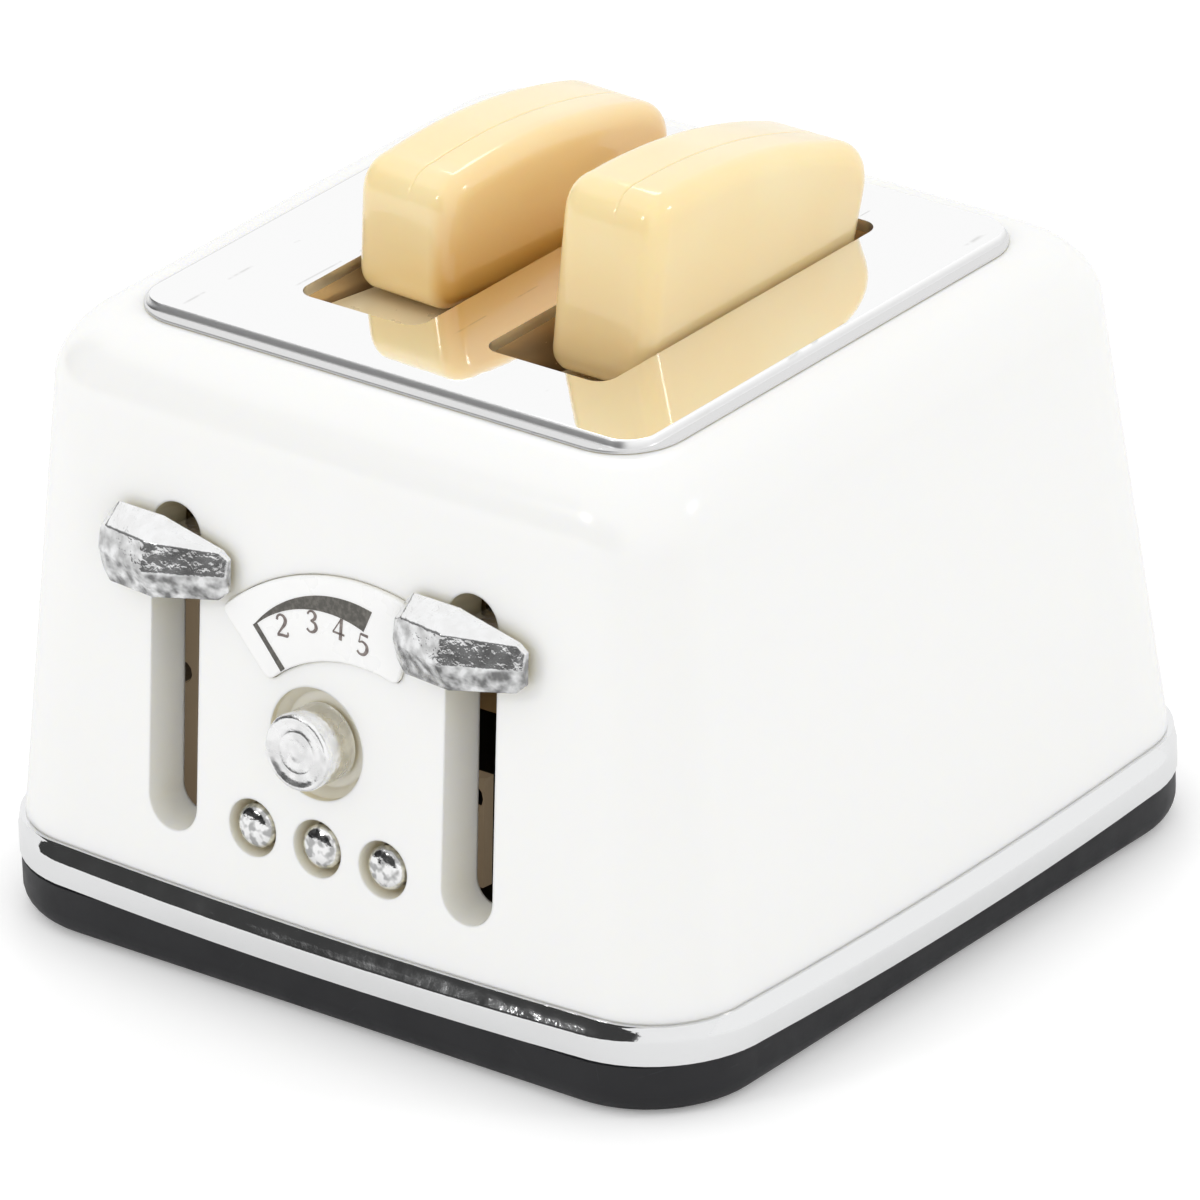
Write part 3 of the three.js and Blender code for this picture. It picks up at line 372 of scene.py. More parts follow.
class Look:
    """A node material with a few short ways to add to it."""

    def __init__(self, name, colour, roughness, metallic=0.0):
        self.material = bpy.data.materials.new(name)
        self.material.use_nodes = True
        self.tree = self.material.node_tree
        self.shader = self.tree.nodes["Principled BSDF"]
        self.set("Base Color", (*colour, 1))
        self.set("Roughness", roughness)
        self.set("Metallic", metallic)
        self.bumps = []
        self.place = self.tree.nodes.new("ShaderNodeTexCoord").outputs["Object"]

    def set(self, socket, value):
        self.shader.inputs[socket].default_value = value

    def node(self, kind, **inputs):
        """A new node whose inputs are given by name."""
        node = self.tree.nodes.new(kind)
        for name, value in inputs.items():
            feed(self.tree, node.inputs[name.replace("_", " ")], value)
        return node

    def link(self, output, socket):
        self.tree.links.new(output, self.shader.inputs[socket])

    def noise(self, size, detail=3.0):
        """Noise whose blotches are about this many millimetres across."""
        node = self.node("ShaderNodeTexNoise", Vector=self.place, Scale=1 / (size * MM), Detail=detail)
        return node.outputs["Fac"]

    def ramp(self, factor, stops):
        """Colours or grey levels along a factor, each stop given with its position."""
        node = self.node("ShaderNodeValToRGB", Fac=factor)
        elements = node.color_ramp.elements
        while len(elements) < len(stops):
            elements.new(0.5)
        for element, (position, value) in zip(elements, stops):
            element.position = position
            colour = value if isinstance(value, tuple) else (value, value, value)
            element.color = (*colour, 1)
        return node.outputs["Color"]

    def math(self, operation, a, b):
        return math_node(self.tree, operation, a, b)

    def mix(self, factor, a, b):
        """Colour a where the factor is 0 and b where it is 1."""
        node = self.tree.nodes.new("ShaderNodeMix")
        node.data_type = "RGBA"
        for socket, value in ((node.inputs[0], factor), (node.inputs[6], a), (node.inputs[7], b)):
            feed(self.tree, socket, value)
        return node.outputs[2]

    def vary(self, socket, pattern, first, last):
        """Links an input to a pattern, between two levels that are each given with a position."""
        self.link(self.ramp(pattern, [first, last]), socket)

    def shade(self, reach):
        """1 in the open, and towards 0 where other surfaces stand within this many millimetres."""
        node = self.node("ShaderNodeAmbientOcclusion", Distance=reach * MM)
        node.samples = 8
        return node.outputs["AO"]

    def between(self, axis, first, last):
        """Rises smoothly from 0 to 1 between two places along an axis, given in millimetres."""
        apart = self.node("ShaderNodeSeparateXYZ", Vector=self.place)
        return soft_step(self.tree, apart.outputs[axis], first * MM, last * MM)

    def facing_up(self):
        """From 0 on an underside, through 0.5 on a wall, to 1 on a flat top."""
        normal = self.tree.nodes.new("ShaderNodeTexCoord").outputs["Normal"]
        apart = self.node("ShaderNodeSeparateXYZ", Vector=normal)
        return self.math("MULTIPLY", self.math("ADD", apart.outputs["Z"], 1.0), 0.5)

    def bump(self, height, distance, strength):
        """Adds relief this many millimetres deep on top of earlier relief."""
        node = self.node("ShaderNodeBump", Height=height, Distance=distance * MM, Strength=strength)
        if self.bumps:
            self.tree.links.new(self.bumps[-1], node.inputs["Normal"])
        self.bumps.append(node.outputs["Normal"])

    def round_edges(self, radius):
        """Softens the look of sharp edges. It comes before any bump."""
        node = self.node("ShaderNodeBevel", Radius=radius * MM)
        node.samples = 6
        self.bumps.append(node.outputs["Normal"])

    def done(self):
        if self.bumps:
            self.link(self.bumps[-1], "Normal")
        return self.material


def scratches(look, density, turn):
    """A mask of thin straight marks: the edges of a pattern's long cells, broken up by noise."""
    long_cells = look.node(
        "ShaderNodeMapping", Vector=look.place, Scale=(1, 0.02, 1), Rotation=(0, 0, turn)
    )
    cells = look.node("ShaderNodeTexVoronoi", Vector=long_cells.outputs["Vector"], Scale=density / MM)
    cells.feature = "DISTANCE_TO_EDGE"
    thin = look.ramp(cells.outputs["Distance"], [(0, 1.0), (0.008, 0.0)])
    broken = look.ramp(look.noise(1.6), [(0.55, 0.0), (0.62, 1.0)])
    return look.math("MULTIPLY", thin, broken)


def shell_look():
    """White glossy plastic with painted shade: its colour turns warmer and darker in recesses, where other
    surfaces stand close.
    """
    white = (0.9, 0.9, 0.885)
    look = Look("white_plastic", white, 0.22)
    # Painted shade: cream and olive where the surface is closed in, white in the open
    painted_recess_shade = [(0.1, (0.78, 0.7, 0.5)), (0.42, (0.92, 0.9, 0.8)), (0.8, white)]
    look.link(look.ramp(look.shade(3.0), painted_recess_shade), "Base Color")
    look.set("Subsurface Weight", 0.3)
    look.set("Subsurface Radius", (1.3, 1.2, 0.8))
    look.set("Subsurface Scale", 0.5 * MM)
    look.set("Coat Weight", 0.3)
    look.set("Coat Roughness", 0.06)
    look.round_edges(0.14)
    look.bump(look.noise(3.2, 2), 0.012, 0.5)
    look.bump(look.noise(0.22, 4), 0.001, 0.4)
    look.vary("Roughness", look.noise(1.8, 3), (0.3, 0.2), (0.8, 0.26))
    return look.done()


def chrome_look(name, rough, wave, colour=CHROME, grain=0.0, edges=0.0):
    """Plating with wide waves, a finer grain and a roughness between two values, for more to be added."""
    look = Look(name, colour, rough[0], 1.0)
    if edges:
        look.round_edges(edges)
    look.bump(look.noise(1.7, 2), wave, 0.6)
    if grain:
        look.bump(look.noise(0.35, 3), grain, 0.6)
    look.vary("Roughness", look.noise(0.9, 5), (0.35, rough[0]), (0.72, rough[1]))
    return look


def mirror_look():
    """A mirror with fine scratches, whose rim and step are duller than its flat top and carry a greyer tone
    as painted reflection.
    """
    bright = (0.95, 0.95, 0.95)
    look = Look("mirror_chrome", bright, 0.02, 1.0)
    marks = scratches(look, 0.16, 0.5)
    # Painted reflection: below the flat top the plating is given a greyer tone
    raised = look.between("Z", PLATE_LEDGE + PLATE_RIM_HEIGHT, PLATE_TOP)
    tone = look.mix(raised, (0.74, 0.74, 0.74), bright)
    look.link(look.mix(marks, tone, (0.74, 0.74, 0.73)), "Base Color")
    look.link(look.ramp(look.facing_up(), [(0.9, 0.34), (0.995, 0.02)]), "Roughness")
    look.bump(look.noise(5.5, 2), 0.004, 0.5)
    look.bump(look.noise(0.9, 2), 0.0025, 0.5)
    look.bump(marks, 0.002, 0.6)
    return look.done()


def pan_look():
    """Satin black plastic with faint scratches."""
    black = (0.016, 0.016, 0.018)
    look = Look("satin_black", black, 0.45)
    marks = scratches(look, 0.4, 0.2)
    look.link(look.mix(marks, black, (0.026, 0.026, 0.03)), "Base Color")
    look.bump(look.noise(0.12, 3), 0.004, 0.5)
    look.set("Specular IOR Level", 0.3)
    look.vary("Roughness", look.noise(1.1, 4), (0.3, 0.4), (0.75, 0.56))
    return look.done()


def dial_look():
    white = (0.93, 0.93, 0.92)
    look = Look("dial_plastic", white, 0.3)
    # Painted shade: the white turns cream where other surfaces stand close, round the dial's foot
    look.link(look.ramp(look.shade(1.0), [(0.3, (0.82, 0.8, 0.7)), (0.75, white)]), "Base Color")
    look.set("Subsurface Weight", 0.2)
    look.set("Subsurface Radius", (1, 1, 0.9))
    look.set("Subsurface Scale", 0.3 * MM)
    look.round_edges(0.1)
    look.bump(look.noise(0.3, 4), 0.0015, 0.5)
    look.vary("Roughness", look.noise(1.3, 4), (0.3, 0.24), (0.75, 0.38))
    return look.done()


def print_look(name, dark, light):
    """Ink worn lighter in small patches."""
    look = Look(name, dark, 0.5)
    worn = look.ramp(look.noise(0.16, 4), [(0.42, 0.0), (0.75, 1.0)])
    look.link(look.mix(worn, dark, light), "Base Color")
    look.bump(look.noise(0.09, 2), 0.001, 0.4)
    return look.done()


def toast_look(side):
    """Glossy toast-coloured plastic with painted shade: deeper orange towards the plate and where the two
    slices face each other.
    """
    look = Look(f"toast_plastic_{side}", (0.96, 0.79, 0.5), 0.3)
    patches = look.noise(4.5, 1)
    open_colour = look.ramp(patches, [(0.3, (0.965, 0.79, 0.46)), (0.7, (0.96, 0.74, 0.38))])
    # Painted shade: the colour deepens low down towards the plate, and on the left slice's side that faces
    # the right slice
    low_down = look.math("SUBTRACT", 1.0, look.between("Z", PLATE_TOP - 0.5, PLATE_TOP + 4.0))
    depth = look.math("MULTIPLY", low_down, 0.18)
    if side == "left":
        middle = SLICE_PLACES[side]["x"]
        inner_side = look.between("X", middle + 1.0, middle + 2.1)
        shade_between_slices = look.math("ADD", look.math("MULTIPLY", low_down, 0.8), 0.15)
        depth = look.math("MAXIMUM", depth, look.math("MULTIPLY", inner_side, shade_between_slices))
    look.link(look.mix(depth, open_colour, (0.74, 0.4, 0.08)), "Base Color")
    look.set("Subsurface Weight", 0.5)
    look.set("Subsurface Radius", (1.4, 1.0, 0.45))
    look.set("Subsurface Scale", 0.6 * MM)
    look.set("IOR", 1.5)
    look.set("Coat Weight", 0.9)
    look.bump(look.noise(2.6, 1), 0.05, 0.6)
    look.bump(look.noise(0.7, 1), 0.004, 0.4)
    look.bump(look.noise(0.2, 2), 0.0008, 0.4)
    look.vary("Coat Roughness", look.noise(1.6, 2), (0.3, 0.03), (0.75, 0.07))
    return look.done()


def steel_look():
    look = Look("dark_steel", (0.16, 0.155, 0.15), 0.38, 1.0)
    look.bump(look.noise(0.2, 3), 0.003, 0.5)
    look.vary("Roughness", look.noise(0.7, 4), (0.3, 0.3), (0.75, 0.5))
    return look.done()


def brass_look():
    look = Look("dull_brass", (0.4, 0.3, 0.15), 0.42, 1.0)
    look.bump(look.noise(0.25, 3), 0.004, 0.5)
    look.vary("Roughness", look.noise(0.7, 4), (0.3, 0.34), (0.75, 0.52))
    return look.done()


def inner_look():
    """Brown plastic inside. Its faint glow stands for the light that comes through the pale walls."""
    look = Look("inner_plastic", (0.46, 0.38, 0.26), 0.6)
    look.set("Emission Color", (1.0, 0.74, 0.48, 1))
    look.set("Emission Strength", 0.09)
    look.bump(look.noise(0.2, 3), 0.004, 0.5)
    look.vary("Roughness", look.noise(0.7, 4), (0.3, 0.5), (0.75, 0.7))
    return look.done()


def well_look():
    """Thin plating tinted warm brown as a painted reflection of the shaded toast, which shows in the depth
    of the slots.
    """
    look = chrome_look("well_chrome", rough=(0.16, 0.3), wave=0.03, colour=(0.78, 0.6, 0.36), grain=0.006)
    look.set("Metallic", 0.6)
    return look.done()


def tray_look():
    """Metal under the slices, tinted pale olive as a painted reflection of the toast above it in shade."""
    look = chrome_look("tray_chrome", rough=(0.25, 0.4), wave=0.02, colour=(0.9, 0.79, 0.54))
    look.set("Metallic", 0.2)
    return look.done()


# White shell

def lever_slot_outline(x, margin):
    """An upright slot with round ends, grown by the margin."""
    radius = LEVER_SLOT_WIDTH / 2 + margin
    steps = 24
    points = []
    ends = ((LEVER_SLOT_TOP + margin - radius, 0), (LEVER_SLOT_FOOT - margin + radius, math.pi))
    for centre, start in ends:
        for i in range(steps + 1):
            angle = start + math.pi * i / steps
            points.append((x + radius * math.cos(angle), centre + radius * math.sin(angle)))
    return points


def round_recess(x, height, wide, narrow, depth):
    """A round hollow that closes in from its mouth to its floor."""
    layers = ((FACE_OVER, wide), (0.0, wide), (-depth, narrow))
    return on_panel(panel_loft("recess", lambda radius: circle_outline(x, height, radius), layers))


def lever_slot_cutter(x):
    """A slot that closes in on its way through the wall and its collar."""
    layers = (
        (FACE_OVER, 0.0),
        (0.0, 0.0),
        (-SLOT_DEEP, -SLOT_TAPER),
        (-SLOT_DEEP - CUT_OVER, -SLOT_TAPER),
    )
    return on_panel(panel_loft("slot", lambda margin: lever_slot_outline(x, margin), layers))


# The dial's fan: its centre on the panel, two radii, the angles of its ends and its corners
FAN = {"x": 1.6, "height": 4.6, "inner": 5.73, "outer": 8.8, "start": 72.5, "end": 133.5, "corner": 0.35}
FAN_PROUD = 0.4
FAN_SUNK = 0.12
FAN_POCKET_GAP = 0.02
FAN_POCKET_DEPTH = 0.4


def fan_outline(margin=0.0):
    """The fan-shaped dial's outline with rounded corners, grown by the margin."""
    steps = 40
    corner_steps = 6
    inner = FAN["inner"] - margin
    outer = FAN["outer"] + margin
    wide = margin / FAN["outer"]
    start = math.radians(FAN["start"]) - wide
    end = math.radians(FAN["end"]) + wide
    corner = FAN["corner"]

    def at(radius, angle):
        return Vector((FAN["x"] + radius * math.cos(angle), FAN["height"] + radius * math.sin(angle)))

    def arc(radius, first, last):
        return [at(radius, first + (last - first) * i / steps) for i in range(steps + 1)]

    def turn(a, b, c):
        return curve(a, b, c, corner_steps)[:-1]

    out_turn = corner / outer
    in_turn = corner / inner
    outer_arc = arc(outer, start + out_turn, end - out_turn)
    inner_arc = arc(inner, end - in_turn, start + in_turn)
    left_top = at(outer - corner, end)
    left_foot = at(inner + corner, end)
    right_foot = at(inner + corner, start)
    right_top = at(outer - corner, start)
    points = outer_arc
    points += turn(outer_arc[-1], at(outer, end), left_top) + [left_top, left_foot]
    points += turn(left_foot, at(inner, end), inner_arc[0]) + inner_arc
    points += turn(inner_arc[-1], at(inner, start), right_foot) + [right_foot, right_top]
    points += turn(right_top, at(outer, start), outer_arc[0])
    return [(p.x, p.y) for p in points]


def shell_outside():
    """Leaning walls, then shoulders that turn in along an ellipse up to the plate's ledge."""
    wall_rings = 5
    rings = [rounded_ring(BOTTOM_SIZE, BOTTOM_CORNER, BODY_BOTTOM, BOTTOM_BOW)]
    for i in range(1, wall_rings):
        share = i / wall_rings
        size = [blend(a, b, share) for a, b in zip(BOTTOM_SIZE, SHOULDER_SIZE)]
        corner = blend(BOTTOM_CORNER, SHOULDER_CORNER, share)
        bow = blend(BOTTOM_BOW, SHOULDER_BOW, share)
        rings.append(rounded_ring(size, corner, blend(BODY_BOTTOM, SHOULDER, share), bow))
    shoulder_rings = 18
    for i in range(shoulder_rings + 1):
        angle = QUARTER * i / shoulder_rings
        inward = 1 - math.cos(angle)
        size = [blend(a, b, inward) for a, b in zip(SHOULDER_SIZE, shrunk(PLATE_SIZE, -TOP_EDGE))]
        corner = blend(SHOULDER_CORNER, TOP_CORNER, inward)
        z = blend(SHOULDER, PLATE_LEDGE, math.sin(angle))
        rings.append(rounded_ring(size, corner, z, blend(SHOULDER_BOW, 0, inward)))
    return loft("shell_body", rings)


def shell_cavity():
    """The hollow inside, whose walls lean as the outside does."""
    wall_height = SHOULDER - BODY_BOTTOM
    slopes = [(top - bottom) / wall_height for top, bottom in zip(SHOULDER_SIZE, BOTTOM_SIZE)]

    def inside(z):
        rise = z - BODY_BOTTOM
        size = [bottom + slope * rise - 2 * WALL for bottom, slope in zip(BOTTOM_SIZE, slopes)]
        return rounded_ring(size, BOTTOM_CORNER - WALL, z)

    return loft("cavity", [inside(BODY_BOTTOM - CUT_OVER), inside(PLATE_LEDGE - ROOF)])


def build_shell():
    shell = shell_outside()
    carve(shell, [shell_cavity()])
    collars = [
        on_panel(prism("collar", lever_slot_outline(x, SLOT_LINER), -WALL / 2, -SLOT_DEEP))
        for x in LEVER_X
    ]
    join(shell, collars)
    opening = rounded_outline(shrunk(PLATE_SIZE, PLATE_BEARING), PLATE_CORNER)
    roof_cut = [ring(opening, z) for z in (PLATE_LEDGE - ROOF - CUT_OVER, PLATE_LEDGE + CUT_OVER)]
    cutters = [loft("roof", roof_cut)]
    cutters += [lever_slot_cutter(x) for x in LEVER_X]
    cutters.append(round_recess(KNOB_CENTRE.x, KNOB_HEIGHT, **KNOB_RECESS))
    for x in BUTTON_X.values():
        cutters.append(round_recess(x, BUTTON_HEIGHT, **BUTTON_RECESS))
        hole = circle_outline(x, BUTTON_HEIGHT, BUTTON_HOLE)
        cutters.append(on_panel(prism("hole", hole, CUT_OVER, -WALL - CUT_OVER)))
    pocket = prism("pocket", fan_outline(FAN_POCKET_GAP), FACE_OVER, -FAN_POCKET_DEPTH)
    cutters.append(on_panel(pocket))
    carve(shell, cutters)
    smooth(shell, 28)
    dress(shell, shell_look(), "casing", ["outer_shell"])


# Mirror top plate

def build_plate():
    rim = PLATE_LEDGE + PLATE_RIM_HEIGHT
    foot = PLATE_LEDGE + PLATE_FOOT_GAP / 2

    def edge(by, z):
        return rounded_ring(shrunk(PLATE_SIZE, by), PLATE_CORNER - by, z)

    def step(by, z):
        return rounded_ring(shrunk(shrunk(PLATE_SIZE, PLATE_RIM_WIDTH), by), PLATE_STEP_CORNER - by, z)

    rings = [
        edge(PLATE_FOOT_GAP, PLATE_LEDGE),
        edge(PLATE_FOOT_GAP, foot),
        edge(0, foot),
        edge(0, rim - PLATE_SOFT),
        edge(PLATE_SOFT * 0.3, rim - PLATE_SOFT * 0.3),
        edge(PLATE_SOFT, rim),
    ]
    # The pressed step rises in one soft wave, and a last ring at its height keeps the top's shading flat
    step_rings = 8
    for k in range(step_rings + 1):
        along = k / step_rings
        rise = along * along * (3 - 2 * along)
        rings.append(step(PLATE_STEP_REACH * (2 * along - 1), blend(rim, PLATE_TOP, rise)))
    rings.append(step(PLATE_STEP_REACH + PLATE_SOFT, PLATE_TOP))
    plate = loft("plate_mirror", rings)
    cutters = []
    for x in SLOT_X:
        outline = rounded_outline((SLOT_WIDTH, SLOT_REAR - SLOT_FRONT), SLOT_CORNER, 0, 10, 1)
        placed = [Vector((p.x + x, p.y + (SLOT_REAR + SLOT_FRONT) / 2)) for p in outline]
        levels = (PLATE_LEDGE - CUT_OVER, PLATE_TOP + CUT_OVER)
        cutters.append(leaned(loft("slot", [ring(placed, z) for z in levels])))
    carve(plate, cutters)
    bevel(plate, 0.07, segments=1, angle=60, sharp=40)
    dress(plate, mirror_look(), "casing", ["top_plate"])


# Chrome trim ring and black pan

TRIM_SIZE = (32.0, 31.65)
TRIM_CORNER = 4.6
TRIM_BOW = 0.4
TRIM_BOTTOM = low("base_trim").z
TRIM_BAND = 0.95                # height of its upright band
TRIM_LEDGE = 0.14               # how far its top reaches out past the shell
TRIM_EDGE = 0.06
TRIM_HOLE = (27.3, 27.0)
TRIM_HOLE_CORNER = 1.5


def build_trim():
    ledge = shrunk(BOTTOM_SIZE, -TRIM_LEDGE)
    band_top = TRIM_BOTTOM + TRIM_BAND

    def at(inward, upward):
        """A ring part of the way in from the band to the ledge, and part of the way up."""
        size = [blend(a, b, inward) for a, b in zip(TRIM_SIZE, ledge)]
        corner = blend(TRIM_CORNER, BOTTOM_CORNER, inward)
        bow = blend(TRIM_BOW, BOTTOM_BOW, inward)
        return rounded_ring(size, corner, blend(band_top, BODY_BOTTOM, upward), bow)

    # Up the band, over its edge and along a soft slope to the ledge
    rings = [
        rounded_ring(shrunk(TRIM_SIZE, TRIM_EDGE), TRIM_CORNER - TRIM_EDGE, TRIM_BOTTOM, TRIM_BOW),
        rounded_ring(TRIM_SIZE, TRIM_CORNER, TRIM_BOTTOM + TRIM_EDGE, TRIM_BOW),
        at(0, -0.15),
        at(0.03, 0.0),
        at(0.12, 0.1),
        at(0.42, 0.34),
        at(0.78, 0.72),
        at(0.9, 0.86),
        at(0.96, 0.97),
        at(1, 1),
    ]
    trim = loft("trim_ring", rings)
    levels = (TRIM_BOTTOM - CUT_OVER, BODY_BOTTOM + CUT_OVER)
    carve(trim, [loft("hole", [rounded_ring(TRIM_HOLE, TRIM_HOLE_CORNER, z) for z in levels])])
    smooth(trim, 40)
    tone = (0.83, 0.835, 0.84)
    look = chrome_look("trim_chrome", rough=(0.05, 0.12), wave=0.05, colour=tone, grain=0.012)
    dress(trim, look.done(), "casing", ["base_trim"])


PAN_SIZE = (31.5, 31.8)
PAN_CORNER = 4.4
PAN_EDGE = 0.9                  # radius of its rounded lower edge
PAN_TOP = high("base_pan").z
PAN_WALL = 1.2
PAN_FLOOR = 1.0
# The two steps of a screw's hole, each with its radius and how high it reaches
SCREW_HOLE = ((0.98, 0.52), (0.58, 2.0))


def build_pan():
    edge_steps = 10
    rings = []
    for i in range(edge_steps + 1):
        angle = QUARTER * i / edge_steps
        inset = PAN_EDGE * (1 - math.sin(angle))
        z = PAN_EDGE * (1 - math.cos(angle))
        rings.append(rounded_ring(shrunk(PAN_SIZE, inset), PAN_CORNER - inset, z))
    rings.append(rounded_ring(PAN_SIZE, PAN_CORNER, PAN_TOP))
    pan = loft("pan_body", rings)
    hollow = rounded_outline(shrunk(PAN_SIZE, PAN_WALL), PAN_CORNER - PAN_WALL)
    cutters = [loft("hollow", [ring(hollow, PAN_FLOOR), ring(hollow, PAN_TOP + CUT_OVER)])]
    for place in ("front_left", "front_right", "rear_left", "rear_right"):
        middle = (low(f"base_screw_{place}") + high(f"base_screw_{place}")) / 2
        for radius, top in SCREW_HOLE:
            hole = [Vector((middle.x + x, middle.y + y)) for x, y in circle_outline(0, 0, radius, 40)]
            cutters.append(loft("hole", [ring(hole, -CUT_OVER), ring(hole, top)]))
    carve(pan, cutters)
    smooth(pan, 40)
    dress(pan, pan_look(), "casing", ["base_pan"])


# Dial plate and its print

def build_dial():
    dial = prism("dial_face", fan_outline(), FAN_PROUD, -FAN_SUNK)
    bevel(dial, 0.07, segments=3, angle=50, sharp=30)
    on_panel(dial)
    dress(dial, dial_look(), "casing", ["dial_plate"])
    band_ink = print_look("band_print", (0.085, 0.08, 0.07), (0.17, 0.16, 0.14))
    figure_ink = print_look("figure_print", (0.16, 0.13, 0.12), (0.3, 0.26, 0.24))
    for k, shape in enumerate(band_marks()):
        print_mark(f"dial_band_{k}", shape, band_ink)
    for k, shape in enumerate(figure_marks()):
        print_mark(f"dial_figure_{k}", shape, figure_ink)


INK_PROUD = 0.012
INK_SUNK = 0.03


def print_mark(name, shape, ink):
    """A mark a hair proud of the dial's face."""
    mark = on_panel(prism(name, shape, FAN_PROUD + INK_PROUD, FAN_PROUD - INK_SUNK))
    dress(mark, ink, "casing")


def between_arcs(outer_arc, inner_arc):
    """A closed outline between two arcs, each given by its centre, radius and end angles."""
    steps = 30
    points = []
    for x, height, radius, first, last in (outer_arc, inner_arc):
        for i in range(steps + 1):
            angle = math.radians(first + (last - first) * i / steps)
            points.append((x + radius * math.cos(angle), height + radius * math.sin(angle)))
    return points


def stroke(points, widths):
    """A closed outline round a line whose half width changes along it."""
    points = [Vector(p) for p in points]
    left = []
    right = []
    for i, point in enumerate(points):
        before = points[max(i - 1, 0)]
        after = points[min(i + 1, len(points) - 1)]
        along = (after - before).normalized()
        side = Vector((-along.y, along.x)) * widths[i]
        left.append(point + side)
        right.append(point - side)
    return [tuple(p) for p in left + right[::-1]]


# Figures drawn as strokes in a box one unit high: (points, half widths)
FIGURES = {
    "2": [
        ([(0.06, 0.74), (0.1, 0.88), (0.24, 0.98), (0.42, 0.94), (0.52, 0.78), (0.46, 0.58), (0.28, 0.36),
          (0.08, 0.12)], [0.06, 0.06, 0.05, 0.07, 0.1, 0.09, 0.06, 0.04]),
        ([(0.04, 0.07), (0.3, 0.08), (0.58, 0.07), (0.62, 0.24)], [0.07, 0.07, 0.07, 0.03]),
    ],
    "3": [
        ([(0.06, 0.8), (0.16, 0.94), (0.34, 0.97), (0.48, 0.84), (0.44, 0.66), (0.24, 0.54)],
         [0.05, 0.05, 0.06, 0.09, 0.08, 0.04]),
        ([(0.24, 0.54), (0.46, 0.46), (0.54, 0.28), (0.44, 0.1), (0.22, 0.03), (0.04, 0.14)],
         [0.04, 0.07, 0.1, 0.08, 0.05, 0.06]),
    ],
    "4": [
        ([(0.42, 0.0), (0.42, 0.98)], [0.09, 0.08]),
        ([(0.4, 0.98), (0.2, 0.62), (0.0, 0.28)], [0.03, 0.03, 0.03]),
        ([(0.0, 0.28), (0.62, 0.28)], [0.05, 0.05]),
    ],
    "5": [
        ([(0.52, 0.94), (0.12, 0.94)], [0.07, 0.06]),
        ([(0.12, 0.96), (0.08, 0.54)], [0.03, 0.03]),
        ([(0.08, 0.54), (0.28, 0.62), (0.5, 0.5), (0.54, 0.28), (0.42, 0.08), (0.2, 0.03), (0.04, 0.14)],
         [0.03, 0.05, 0.08, 0.1, 0.08, 0.05, 0.06]),
    ],
}
FIGURE_BOX_MIDDLE = Vector((0.3, 0.5))
FIGURE_SIZE = 0.82
FIGURE_WEIGHT = 0.88
FIGURE_PLACES = {"2": (-1.75, 10.99), "3": (-0.42, 11.48), "4": (0.77, 11.54), "5": (1.84, 11.23)}
FIGURE_LEAN = {"2": 0.1, "3": 0.0, "4": -0.06, "5": -0.12}


def refine(points, widths):
    """A smooth line through the points, and its half width at each of the new ones."""
    steps = 4
    points = [Vector(p) for p in points]
    fine = []
    wide = []
    for i in range(len(points) - 1):
        p0 = points[max(i - 1, 0)]
        p1 = points[i]
        p2 = points[i + 1]
        p3 = points[min(i + 2, len(points) - 1)]
        for k in range(steps):
            t = k / steps
            fine.append(0.5 * (2 * p1 + (p2 - p0) * t + (2 * p0 - 5 * p1 + 4 * p2 - p3) * t * t
                               + (3 * p1 - p0 - 3 * p2 + p3) * t ** 3))
            wide.append(blend(widths[i], widths[i + 1], t))
    fine.append(points[-1])
    wide.append(widths[-1])
    return fine, wide


def band_marks():
    """A dark band that tapers to the left, and the line that runs down from its left end."""
    band = between_arcs((1.03, 7.56, 5.1, 76.5, 142.5), (0.29, 7.26, 4.72, 131.5, 70.5))
    line_down = stroke([(-2.95, 10.76), (-2.3, 10.04), (-1.68, 9.35)], [0.1, 0.1, 0.115])
    return [band, line_down]


def figure_marks():
    marks = []
    for figure, strokes in FIGURES.items():
        x, height = FIGURE_PLACES[figure]
        turn = Matrix.Rotation(FIGURE_LEAN[figure], 2)
        for points, widths in strokes:
            fine, wide = refine(points, widths)
            placed = [turn @ (p - FIGURE_BOX_MIDDLE) * FIGURE_SIZE + Vector((x, height)) for p in fine]
            marks.append(stroke(placed, [w * FIGURE_SIZE * FIGURE_WEIGHT for w in wide]))
    return marks


# Knob and buttons

def speckled_look(name, size, dark, rough):
    """Bright plating broken by greyer spots this many millimetres across."""
    look = chrome_look(name, rough, wave=0.05, grain=0.06)
    spots = look.ramp(look.noise(size, 1), [(0.4, dark), (0.56, 0.94)])
    look.link(spots, "Base Color")
    return look.done()


def build_knob():
    # Radius and depth behind the front: a sunk face with two fine rings, then the round lip
    face = [
        (0, 0.07), (0.34, 0.07), (0.4, 0.05), (0.46, 0.07), (0.7, 0.075), (0.76, 0.05), (0.82, 0.075),
        (0.98, 0.08), (1.12, 0.06), (1.2, 0.01), (1.27, 0.0), (1.33, 0.02), (1.38, 0.08),
        (KNOB_RADIUS, 0.17),
    ]
    # Radius and how far out: the side, the back and the blind hole for the shaft
    back = [(KNOB_RADIUS, -0.15), (0.62, -0.15), (0.62, 0.5), (0, 0.5)]
    profile = [(radius, KNOB_FRONT - sunk) for radius, sunk in face] + back
    knob = on_panel(revolve("knob_body", profile, 96), KNOB_CENTRE.x, KNOB_HEIGHT)
    smooth(knob, 40)
    look = speckled_look("knob_chrome", 0.6, 0.8, (0.22, 0.34))
    dress(knob, look, "knob", ["control_knob"])


